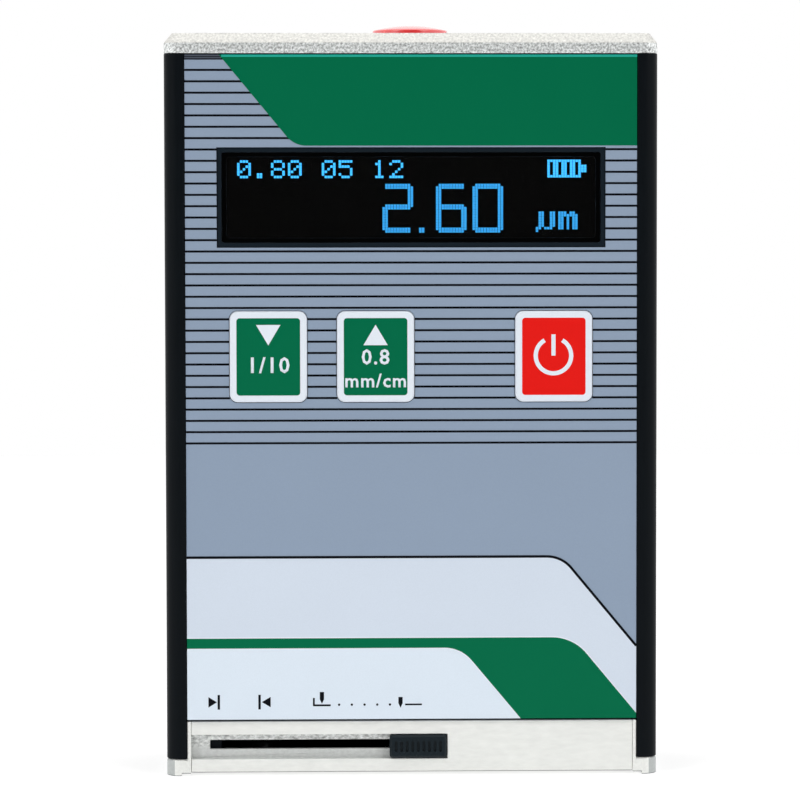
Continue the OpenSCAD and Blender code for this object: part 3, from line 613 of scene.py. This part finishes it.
class PanelPlaces:
    """Where the film, the display and the keys lie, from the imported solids."""

    def __init__(self):
        low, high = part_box("panel_overlay")
        self.x0, self.x1, self.z0, self.z1 = low[0], high[0], low[2], high[2]
        self.face = low[1]
        low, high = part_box("display_frame")
        self.display = (low[0], high[0], low[2], high[2])
        self.keys = {}
        for node in ("key_down", "key_up", "key_power"):
            low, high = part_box(node)
            self.keys[node] = (low[0] + KEY_FLANGE, high[0] - KEY_FLANGE,
                               low[2] + KEY_FLANGE, high[2] - KEY_FLANGE)

    def clear_spans(self, z, half):
        """The parts of a level line that miss the display and the rounded keys."""
        spans = [(self.x0, self.x1)]
        holes = [(self.display, 0.0)] + [(key, KEY_CORNER) for key in self.keys.values()]
        for (x0, x1, z0, z1), corner in holes:
            if not z0 - GAP - half < z < z1 + GAP + half:
                continue
            over = max(0.0, corner - min(z - z0 + half, z1 - z + half))
            inset = corner - math.sqrt(max(0.0, corner * corner - over * over))
            cut = []
            for a, b in spans:
                cut += [(a, min(b, x0 + inset - GAP)), (max(a, x1 - inset + GAP), b)]
            spans = [(a, b) for a, b in cut if b - a > GAP]
        return spans


# Operators


class TESTER_OT_shell(bpy.types.Operator):
    """Finish the housing and its two end caps"""

    bl_idname = "tester.shell"
    bl_label = "Housing and caps"

    # Depth in millimetres at which the inside begins, from the sides and from the front
    base_skin = (1.0, 1.2)
    plate_skin = (0.4, 0.45)
    # Reach of the base's rounded ends, and the slopes of the faces in each zone
    end_depth = 2.0
    end_slope = 0.35
    chamfer_slopes = (0.3, 0.9)
    lower_slopes = (-0.97, -0.2)

    def sloped(self, slopes):
        """A test that picks the faces whose normal has its Z between two values."""
        return lambda face: slopes[0] < face.normal.z < slopes[1]

    def at_ends(self, node):
        """A test that picks the faces of a solid's rounded ends."""
        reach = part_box(node)[1][0] - self.end_depth * MM
        steep = self.end_slope
        return lambda face: abs(face.normal.x) > steep and abs(face.center.x) > reach

    def within(self, node, skin):
        """A test that picks the faces inside a solid's box, under a skin."""
        low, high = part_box(node)
        side, front = (value * MM for value in skin)
        near = [low[0] + side, low[1] + front, low[2] + side]
        far = [high[i] - side for i in range(3)]
        return lambda face: all(a < c < b for a, c, b in zip(near, face.center, far))

    def execute(self, context):
        tones = palette()
        softened("housing", "housing_extrusion", anodised_black(), edge_mm=0.12)
        cap = blasted("blasted_aluminium", tones.aluminium, scale=3000.0, spread=3.6, mottle=0.04,
                      bump=0.9, depth=0.04, Metallic=0.55)
        chamfer = blasted("blasted_chamfer", tones.chamfer, scale=3000.0, spread=1.2, mottle=0.04,
                          bump=0.4, Metallic=0.4)
        softened("top_cap", "top_end_cap", cap, edge_mm=0.18,
                 zones=[(chamfer, self.sloped(self.chamfer_slopes))])
        base = blasted("blasted_base", tones.bright)
        # Painted shade on the rounded ends of the base, toned darker where they turn from the light
        ends = blasted("painted_end_shade", tones.base_end)
        # Painted shade on the bevel along the lower edge of the base, which faces the floor
        lower = blasted("painted_edge_shade", tones.base_edge_shade, bump=0.4, depth=0.02, Metallic=0.0,
                        Specular_IOR_Level=0.1)
        softened("base_cap", "base_end_cap", base, edge_mm=0.1,
                 zones=[(ends, self.at_ends("base_cap")), (lower, self.sloped(self.lower_slopes)),
                        # Painted shade: the inside of the base is black so that the slit stays dark
                        (blackened_steel_and_shade(), self.within("base_cap", self.base_skin))])
        softened("slot_plate", "shutter_plate", milled_aluminium(),
                 edge_mm=0.1,
                 zones=[(shaded_milled_recess(), self.within("slot_plate", self.plate_skin))])
        return {"FINISHED"}


class TESTER_OT_panel_print(bpy.types.Operator):
    """Print the fields, lines and pictograms on the panel film"""

    bl_idname = "tester.panel_print"
    bl_label = "Panel print"

    # Outlines in millimetres. A turn is the place of a corner and its radius
    header_x = (-27.15, -16.53)
    header_r = 3.56
    rule_turn = (21.35, 4.5)
    rule_end = 18.4
    sash_turns = ((22.96, 6.4), (6.98, 5.0))
    sash_ends = (32.6, 15.5)
    sash_border = 0.16

    # Cut edge of the film as a painted highlight, and how far the painted shade and the gap reach
    # in parts of it
    film_edge = 0.34
    shade_reach = 1.6
    gap_end = 0.7

    # Pictograms in millimetres: bars with an arrow (bar, tail, tip, half width), an elbow,
    # two styli, a level bar and a row of dots (first, pitch, height)
    bar_w = 0.34
    bar_z = (9.5, 11.6)
    arrows = ((-27.7, -29.0, -27.8, 0.75), (-21.9, -20.15, -21.4, -0.75))
    elbow = ((-14.0, 11.1), (-14.0, 10.05), (-11.6, 10.05))
    elbow_w = 0.26
    styli = (((-13.15, 10.9), (-12.85, 10.3), (-12.55, 10.9), (-12.55, 11.95), (-13.15, 11.95)),
             ((-1.95, 10.3), (-1.65, 9.65), (-1.35, 10.3), (-1.35, 11.2), (-1.95, 11.2)))
    level_bar = (-1.0, 1.4, 10.0, 10.24)
    dot_row = (-10.4, 1.81, 10.12)
    dot_r = 0.17
    dot_count = 5
    dot_steps = 12

    def header(self, places, low):
        """Band along the top with a slanted left end."""
        top_x, low_x = (x * MM for x in self.header_x)
        corners = [(places.x1, low), (places.x1, places.z1), (top_x, places.z1), (low_x, low)]
        return rounded_path(corners, [0, 0, 0, self.header_r * MM])

    def rule(self, places, z):
        """Path of the line over the pale field, which drops at the right."""
        turn, radius = (value * MM for value in self.rule_turn)
        corners = [(places.x0, z), (turn, z), (places.x1, self.rule_end * MM)]
        return rounded_path(corners, [0, radius, 0], closed=False)

    def sash(self, places, top, low, grow):
        """Outline of the sash, grown on both sides."""
        (turn_a, radius_a), (turn_b, radius_b) = self.sash_turns
        turn, end = turn_a * MM + grow / 2, self.sash_ends[0] * MM + grow / 2
        drop = (top + grow - places.z0) * max(0.0, end - places.x1) / (end - turn)
        upper = rounded_path(
            [(places.x0, top + grow), (turn, top + grow),
             (min(end, places.x1), places.z0 + drop), (places.x1, places.z0)],
            [0, radius_a * MM, 0, 0], closed=False)
        lower = rounded_path(
            [(places.x0, low - grow), (turn_b * MM - grow / 2, low - grow),
             (self.sash_ends[1] * MM - grow / 2, places.z0)],
            [0, radius_b * MM, 0], closed=False)
        return lower + upper[::-1]

    def lowest(self, places, low):
        """Field under the sash."""
        (turn, radius), end = self.sash_turns[1], self.sash_ends[1]
        corners = [(places.x0, low), (turn * MM, low), (end * MM, places.z0),
                   (places.x0, places.z0)]
        return rounded_path(corners, [0, radius * MM, 0, 0])

    def pictograms(self):
        """Outlines of the small signs on the lowest field."""
        marks = []
        middle = sum(self.bar_z) / 2
        for bar, tail, tip, half in self.arrows:
            marks += [rectangle(bar, bar + self.bar_w, *self.bar_z),
                      [(tail, middle - half), (tip, middle), (tail, middle + half)]]
        marks += [stroke(self.elbow, self.elbow_w), *self.styli, rectangle(*self.level_bar)]
        first, pitch, z = self.dot_row
        marks += [circle((first + pitch * k, z), self.dot_r, self.dot_steps)
                  for k in range(self.dot_count)]
        return [scaled(mark) for mark in marks]

    def execute(self, context):
        sizes, tones, places = print_sizes(), palette(), PanelPlaces()
        dress_node("panel_overlay", ink("film", tones.film))
        green, black = ink("green", tones.green), ink("line", tones.line)
        edge, top_z = self.film_edge * MM, places.z1
        split = self.header_x[0] * MM + edge
        shade = rectangle(places.x0, split, top_z - self.shade_reach * edge, top_z)
        gap = rectangle(places.x0, split, top_z - edge, top_z - self.gap_end * edge)
        lit_edge = rectangle(split, places.x1, top_z - edge, top_z)
        rule = self.rule(places, sizes.rule_z)
        field = rule + [(places.x1, places.z0), (places.x0, places.z0)]
        top, low = sizes.sash_top, sizes.sash_low
        border = self.sash(places, top, low, self.sash_border * MM)
        # Name, outlines, height in layers of ink, material and slot
        plan = (
            ("header_band", [self.header(places, sizes.band_low)], 2.0, green, "key_green"),
            # Painted shade and a painted highlight along the film's top edge
            ("film_top_shade", [shade], 1.2, ink("film_shade", tones.film_shade), "panel_film"),
            ("film_top_gap", [gap], 1.5, black, "panel_film"),
            ("film_top_edge", [lit_edge], 2.6, ink("edge_highlight", tones.edge_highlight), "panel_film"),
            ("pale_field", [field], 1.0, ink("pale", tones.pale), "panel_film"),
            ("field_line", [stroke(rule, sizes.rule_width)], 1.8, black, "panel_film"),
            ("lowest_field", [self.lowest(places, low)], 1.4, ink("paler", tones.paler),
             "panel_film"),
            ("sash_edge", [border], 2.0, ink("white", tones.white), "panel_film"),
            ("green_sash", [self.sash(places, top, low, 0.0)], 2.6, green, "key_green"),
            ("pictograms", self.pictograms(), 2.4, black, "panel_film"))
        for name, outlines, layer, material, slot in plan:
            printed(name, outlines, places.face, layer, material)
        return {"FINISHED"}


class TESTER_OT_stripes(bpy.types.Operator):
    """Rule the thin lines across the grey film"""

    bl_idname = "tester.stripes"
    bl_label = "Thin lines"

    def execute(self, context):
        sizes, places = print_sizes(), PanelPlaces()
        half = sizes.stripe_width / 2
        depth = sizes.ink
        count = int((places.z1 - half - sizes.stripe_low) / sizes.stripe_pitch) + 1
        rows = []
        for k in range(count):
            z = sizes.stripe_low + k * sizes.stripe_pitch
            for a, b in places.clear_spans(z, half):
                rows.append(((a + b) / 2, places.face - depth / 2, z, b - a))
        material = ink("line", palette().line)
        mesh = repeated("panel_stripes", rows, sizes.stripe_width, depth, material)
        piece_from("panel_stripes", mesh, material, "instrument")
        return {"FINISHED"}


class TESTER_OT_keys(bpy.types.Operator):
    """Make the three keys with their borders and symbols"""

    bl_idname = "tester.keys"
    bl_label = "Keys"

    # Sizes in millimetres
    field_r = 0.45
    triangle = (3.46, 2.9)
    triangle_z = 3.08
    ring_r = 2.52
    ring_w = 0.6
    ring_span = (120, 420)
    bar_half = 0.29
    bar_top = 3.02
    power_shift = (-0.06, 0.1)
    # Height of the fields and of the white signs, in layers of ink
    field_layer = 1.0
    sign_layer = 2.0
    # Key, figures, drop under the key's middle and size of the type
    figure_rows = (("key_down", "1/10", 1.3, 3.1), ("key_up", "0.8", 0.15, 3.0),
                   ("key_up", "mm/cm", 3.5, 2.7))

    def triangle_at(self, x, z, up):
        """Triangle that points up or down."""
        half, tall = (size / 2 * MM for size in self.triangle)
        if up:
            return [(x - half, z - tall), (x + half, z - tall), (x, z + tall)]
        return [(x + half, z + tall), (x - half, z + tall), (x, z - tall)]

    def power_symbol(self, x, z):
        """Open ring with a bar."""
        x, z = x + self.power_shift[0] * MM, z + self.power_shift[1] * MM
        ring = stroke(arc((x, z), self.ring_r * MM, *self.ring_span), self.ring_w * MM)
        half = self.bar_half * MM
        return [ring, rectangle(x - half, x + half, z, z + self.bar_top * MM)]

    def figures(self, name, text, centre, height, face, body, material):
        """Figures that stand out of a key as thick as the white signs."""
        mesh = lettering(text, centre, height * MM)
        shape = bmesh.new()
        shape.from_mesh(mesh)
        bpy.data.meshes.remove(mesh)
        thickness = self.sign_layer * print_sizes().ink
        bmesh.ops.translate(shape, verts=shape.verts, vec=(0, face - thickness, 0))
        grown = bmesh.ops.extrude_face_region(shape, geom=shape.faces[:])
        moved = [item for item in grown["geom"] if isinstance(item, bmesh.types.BMVert)]
        bmesh.ops.translate(shape, verts=moved, vec=(0, thickness, 0))
        piece_from(name, outward(name, shape), material, body)

    def execute(self, context):
        tones = palette()
        white, green = ink("white", tones.white), ink("green", tones.green)
        border = print_sizes().key_border
        plan = {"key_down": (green, "key_green"), "key_up": (green, "key_green"),
                "key_power": (ink("red", tones.red), "key_red")}
        middles, faces = {}, {}
        for node, (x0, x1, z0, z1) in PanelPlaces().keys.items():
            material, slot = plan[node]
            softened(node, node + "_cap", white, edge_mm=0.06)
            x, z = middles[node] = (x0 + x1) / 2, (z0 + z1) / 2
            face = faces[node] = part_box(node)[0][1]
            corners = rectangle(x0 + border, x1 - border, z0 + border, z1 - border)
            field = rounded_path(corners, [self.field_r * MM] * len(corners))
            printed(node + "_field", [field], face, self.field_layer, material, body=node)
            if node == "key_power":
                marks = self.power_symbol(x, z)
            else:
                marks = [self.triangle_at(x, z + self.triangle_z * MM, node == "key_up")]
            printed(node + "_symbol", marks, face, self.sign_layer, white, body=node)
        for node, text, drop, height in self.figure_rows:
            x, z = middles[node]
            self.figures(f"{node}_figures_{int(drop * 10)}", text, (x, z - drop * MM), height,
                         faces[node], node, white)
        return {"FINISHED"}


# Dots of the display, row by row from the top
SMALL = {
    "0": ("01110", "10001", "10011", "10101", "11001", "10001", "01110"),
    "1": ("00100", "01100", "00100", "00100", "00100", "00100", "01110"),
    "2": ("01110", "10001", "00001", "00010", "00100", "01000", "11111"),
    "5": ("11111", "10000", "11110", "00001", "00001", "10001", "01110"),
    "8": ("01110", "10001", "10001", "01110", "10001", "10001", "01110"),
    ".": ("00000", "00000", "00000", "00000", "00000", "01100", "01100"),
    " ": ("00000",) * 7,
}
SMALL_STEP = 6
UNIT = ("011001101110110", "011001101111111", "011001101101011", "011001101101011",
        "011001101101011", "011001101101011", "110111001101011", "100000000000000")
# Bars of each large figure, lettered clockwise from the top with g in the middle
SEGMENTS = {"0": "abcdef", "2": "abged", "6": "acdefg"}


def lit(rows, left=0):
    """Columns and rows of the lit dots of one sign."""
    return [(left + col, row) for row, bits in enumerate(rows)
            for col, bit in enumerate(bits) if bit == "1"]


def block(columns, rows):
    """Columns and rows of a full block of dots."""
    return {(col, row) for col in columns for row in rows}


def small_dots(text):
    """Dots of a line of small figures, as columns and rows from the upper left."""
    return [dot for i, letter in enumerate(text) for dot in lit(SMALL[letter], SMALL_STEP * i)]


def large_dots(text):
    """Dots of a line of large figures, drawn from seven bars each."""
    wide, tall, bold = 11, 19, 2
    figure_step, point_step = wide + 2, 6
    mid = tall // 2
    bars = {
        "a": (1, wide - 1, 0, bold),
        "g": (1, wide - 1, mid - 1, mid - 1 + bold),
        "d": (1, wide - 1, tall - bold, tall),
        "f": (0, bold, 1, mid),
        "b": (wide - bold, wide, 1, mid),
        "e": (0, bold, mid, tall - 1),
        "c": (wide - bold, wide, mid, tall - 1)}
    dots, left = set(), 0
    for letter in text:
        if letter == ".":
            dots |= block(range(left, left + bold), range(tall - bold, tall))
            left += point_step
            continue
        for bar in SEGMENTS[letter]:
            c0, c1, r0, r1 = bars[bar]
            dots |= block(range(left + c0, left + c1), range(r0, r1))
        left += figure_step
    return sorted(dots)


def cell_dots():
    """Dots of the charge mark: an outline, three bars and a tip."""
    wide, tall = 12, 7
    dots = block(range(wide), (0, tall - 1)) | block((0, wide - 1), range(tall))
    for bar in (2, 5, 8):
        dots |= block((bar, bar + 1), range(tall))
    return sorted(dots | block((wide, wide + 1), (2, 3, 4)))


class TESTER_OT_display(bpy.types.Operator):
    """Fit the display frame, its window and the lit dots of a plain reading"""

    bl_idname = "tester.display"
    bl_label = "Display"

    # Upper left dot of each sign, and the thickness of the dots, in millimetres
    line_at = (-24.5, 87.45)
    cell_at = (19.55, 87.52)
    reading_at = (-3.9, 84.1)
    unit_at = (17.9, 80.15)
    dot_depth = 0.02

    def execute(self, context):
        sizes, tones = print_sizes(), palette()
        slate = moulded("slate_frame", tones.slate)
        softened("display_frame", "display_bezel", slate, edge_mm=0.08)
        dress_node("display_window", display_glass())
        depth = self.dot_depth * MM
        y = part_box("display_module")[0][1] - depth / 2
        plan = {
            "small": (tones.glow_small, ((self.line_at, small_dots("0.80 05 12")),
                                         (self.cell_at, cell_dots()))),
            "large": (tones.glow, ((self.reading_at, large_dots("2.60")),
                                   (self.unit_at, lit(UNIT))))}
        for label, (tone, groups) in plan.items():
            name = "display_dots_" + label
            rows = [(x * MM + c * sizes.dot_pitch, y, z * MM - r * sizes.dot_rise, sizes.dot_size)
                    for (x, z), dots in groups for c, r in dots]
            material = lit_dots(label, tone)
            mesh = repeated(name, rows, sizes.dot_size, depth, material)
            piece_from(name, mesh, material, "instrument")
        return {"FINISHED"}


class TESTER_OT_controls(bpy.types.Operator):
    """Finish the start button and the shutter knob"""

    bl_idname = "tester.controls"
    bl_label = "Start button and knob"

    def execute(self, context):
        tones = palette()
        red = moulded("button_red", tones.button, scale=900.0, spread=0.12, rough=0.25, bump=0.06,
                      Specular_IOR_Level=1.0, Coat_Weight=1.0, Coat_Roughness=0.12, Coat_IOR=1.7)
        softened("start_button", "start_button_dome", red, edge_mm=0.12)
        black = moulded("knob_black", tones.rubber, rough=0.45, Specular_IOR_Level=0.2)
        dress_node("shutter_knob", black)
        return {"FINISHED"}


class TESTER_OT_inside(bpy.types.Operator):
    """Give every other solid its finish"""

    bl_idname = "tester.inside"
    bl_label = "Screws, drive and electronics"

    def execute(self, context):
        tones = palette()
        steel = bare_metal("bare_steel", tones.steel, scale=3000.0, stretch=(1, 1, 0.3),
                           spread=0.3)
        brass = bare_metal("turned_brass", tones.brass, scale=2600.0, stretch=(1, 0.2, 0.2),
                           spread=0.25)
        unlit = moulded("display_black", UNLIT, rough=0.6, Specular_IOR_Level=0.02)
        board = finish("board_green", tones.board, scale=700.0, stretch=(1, 1, 0.25), spread=0.5,
                       rough=0.35)
        foam = moulded("foam_grey", tones.foam, scale=1500.0, spread=0.8, rough=0.9, bump=0.8,
                       depth=0.1)
        cell = finish("cell_silver", tones.cell, scale=500.0, spread=0.2, rough=0.35, Metallic=0.6)
        plan = (
            (steel, ("top_cap_screws", "start_board_screws", "base_cap_screws",
                     "drive_frame_screws", "drive_motor", "motor_screws", "motor_shaft",
                     "lead_screw", "guide_rod", "pivot_pin", "lift_pin", "skid", "stylus",
                     "pickup_spring", "charge_socket")),
            (blackened_steel_and_shade(), ("shutter_blade", "pickup_body")),
            (brass, ("motor_pinion", "screw_gear", "screw_bushes", "drive_nut")),
            (moulded("chip_black", CHIP),
             ("start_switch", "key_switches", "circuit_chips", "carriage")),
            (unlit, ("display_module",)),
            (board, ("start_board", "main_board")),
            (foam, ("display_pad", "battery_pad")),
            (cell, ("battery",)),
            (milled_aluminium(), ("drive_frame",)))
        for material, nodes in plan:
            for node in nodes:
                dress_node(node, material)
        return {"FINISHED"}


class TESTER_OT_stage(bpy.types.Operator):
    """Set the floor, the light and the camera"""

    bl_idname = "tester.stage"
    bl_label = "Studio"

    white = (1.0, 1.0, 1.0, 1.0)
    # Soft boxes: name, place and size in metres, and power in watts
    aim_at = (0, 0, 0.055)
    soft_boxes = (("left_softbox", (-0.75, -0.75, 0.6), (0.5, 0.9), 3.3),
                  ("right_softbox", (0.75, -0.75, 0.6), (0.5, 0.9), 3.3),
                  ("top_softbox", (0, -0.15, 1.0), (1.0, 0.6), 1.9))
    # Light of the room by the direction's Y, which is dim behind the camera
    room_light = {"From Min": -0.9, "From Max": -0.1, "To Min": 0.03, "To Max": 1.0}
    # Floor in metres, its own light, and the shade card on it in millimetres
    floor_r = 0.6
    floor_steps = 96
    floor_glow = 0.62
    card_inset = 3.0
    card_lift = 0.02
    near_clip = 0.01

    def soft_light(self, name, place, size, power):
        """Soft box that is turned to the part."""
        lamp = bpy.data.lights.new(name, "AREA")
        lamp.shape = "RECTANGLE"
        lamp.size, lamp.size_y = size
        lamp.energy = power
        holder = add_object(name, lamp)
        aim = (Vector(self.aim_at) - Vector(place)).to_track_quat("-Z", "Y")
        holder.matrix_world = Matrix.Translation(place) @ aim.to_matrix().to_4x4()

    def surroundings(self):
        """White studio, dim behind the camera, so that dark glossy faces stay dark."""
        world = bpy.data.worlds.new("studio")
        world.use_nodes = True
        tree = world.node_tree
        backdrop = tree.nodes["Background"]
        set_inputs(backdrop, {"Color": self.white, "Strength": 1.0})
        room = add_node(tree, "ShaderNodeBackground")
        set_inputs(room, {"Color": self.white})
        place = add_node(tree, "ShaderNodeTexCoord")
        parts = add_node(tree, "ShaderNodeSeparateXYZ")
        ramp = add_node(tree, "ShaderNodeMapRange", interpolation_type="SMOOTHSTEP")
        set_inputs(ramp, self.room_light)
        path = add_node(tree, "ShaderNodeLightPath")
        mixed = add_node(tree, "ShaderNodeMixShader")
        wire(tree, (place, "Generated", parts, 0), (parts, "Y", ramp, "Value"),
             (ramp, "Result", room, "Strength"), (path, "Is Camera Ray", mixed, "Fac"),
             (room, 0, mixed, 1), (backdrop, 0, mixed, 2),
             (mixed, 0, tree.nodes["World Output"], "Surface"))
        return world

    def camera(self, stage):
        """Camera at the photograph's place, turned by yaw, pitch and roll."""
        yaw, pitch, roll = stage.yaw, stage.pitch, stage.roll
        ahead = Vector((-math.sin(yaw) * math.cos(pitch), math.cos(yaw) * math.cos(pitch),
                        -math.sin(pitch)))
        level = Vector((math.cos(yaw), math.sin(yaw), 0))
        upright = level.cross(ahead)
        right = level * math.cos(roll) + upright * math.sin(roll)
        up = upright * math.cos(roll) - level * math.sin(roll)
        lens = bpy.data.cameras.new("studio_camera")
        lens.sensor_fit = "HORIZONTAL"
        lens.sensor_width = SENSOR
        lens.lens = SENSOR * stage.focal_px / PICTURE
        lens.shift_x = (PICTURE / 2 - stage.centre_px[0]) / PICTURE
        lens.shift_y = (stage.centre_px[1] - PICTURE / 2) / PICTURE
        lens.clip_start = self.near_clip
        holder = add_object("studio_camera", lens)
        turn = Matrix((right, up, -ahead)).transposed().to_4x4()
        holder.matrix_world = Matrix.Translation(stage.eye) @ turn
        bpy.context.scene.camera = holder

    def card(self, name, outline, height, material):
        """Flat card of the studio."""
        mesh = bpy.data.meshes.new(name)
        points = [(x, y, height) for x, y in outline]
        mesh.from_pydata(points, [], [range(len(points))])
        mesh.materials.append(material)
        card = add_object(name, mesh)

    def floor(self, tone):
        """Bright paper, and a card under the part that gives no light, so the gap stays dark."""
        paper = dict(scale=300.0, spread=0.02, rough=0.8, bump=0.02)
        bright = finish("floor_paper", tone, **paper, Emission_Color=self.white,
                        Emission_Strength=self.floor_glow)
        self.card("studio_floor", circle((0, 0), self.floor_r, self.floor_steps), 0.0, bright)
        (x0, y0, _), (_, y1, _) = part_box("slot_plate")[0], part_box("base_cap")[1]
        inset = self.card_inset * MM
        self.card("studio_shade", rectangle(x0, -x0, y0 + inset, y1 - inset),
                  self.card_lift * MM, finish("floor_shade", tone, **paper))

    def execute(self, context):
        scene = context.scene
        self.floor(palette().floor)
        scene.world = self.surroundings()
        for name, place, size, power in self.soft_boxes:
            self.soft_light(name, place, size, power)
        scene.view_settings.view_transform = "Standard"
        scene.view_settings.look = "None"
        self.camera(scene.tester_stage)
        return {"FINISHED"}


OPERATORS = (
    TESTER_OT_stage, TESTER_OT_shell, TESTER_OT_panel_print, TESTER_OT_stripes, TESTER_OT_keys,
    TESTER_OT_display, TESTER_OT_controls, TESTER_OT_inside)


class TESTER_PT_sidebar(bpy.types.Panel):
    """Lists the pieces of the tester"""

    bl_idname = "TESTER_PT_sidebar"
    bl_label = "Roughness tester"
    bl_space_type = "VIEW_3D"
    bl_region_type = "UI"
    bl_category = "Tester"

    def draw(self, context):
        for operator in OPERATORS:
            self.layout.operator(operator.bl_idname)


CLASSES = (TesterPrint, TesterColours, TesterStage, *OPERATORS, TESTER_PT_sidebar)


def register():
    for item in CLASSES:
        bpy.utils.register_class(item)
    bpy.types.Scene.tester_print = bpy.props.PointerProperty(type=TesterPrint)
    bpy.types.Scene.tester_colours = bpy.props.PointerProperty(type=TesterColours)
    bpy.types.Scene.tester_stage = bpy.props.PointerProperty(type=TesterStage)


def unregister():
    del bpy.types.Scene.tester_stage
    del bpy.types.Scene.tester_colours
    del bpy.types.Scene.tester_print
    for item in reversed(CLASSES):
        bpy.utils.unregister_class(item)


def main():
    register()
    for operator in OPERATORS:
        group, name = operator.bl_idname.split(".")
        getattr(getattr(bpy.ops, group), name)()


if __name__ == "__main__":
    main()
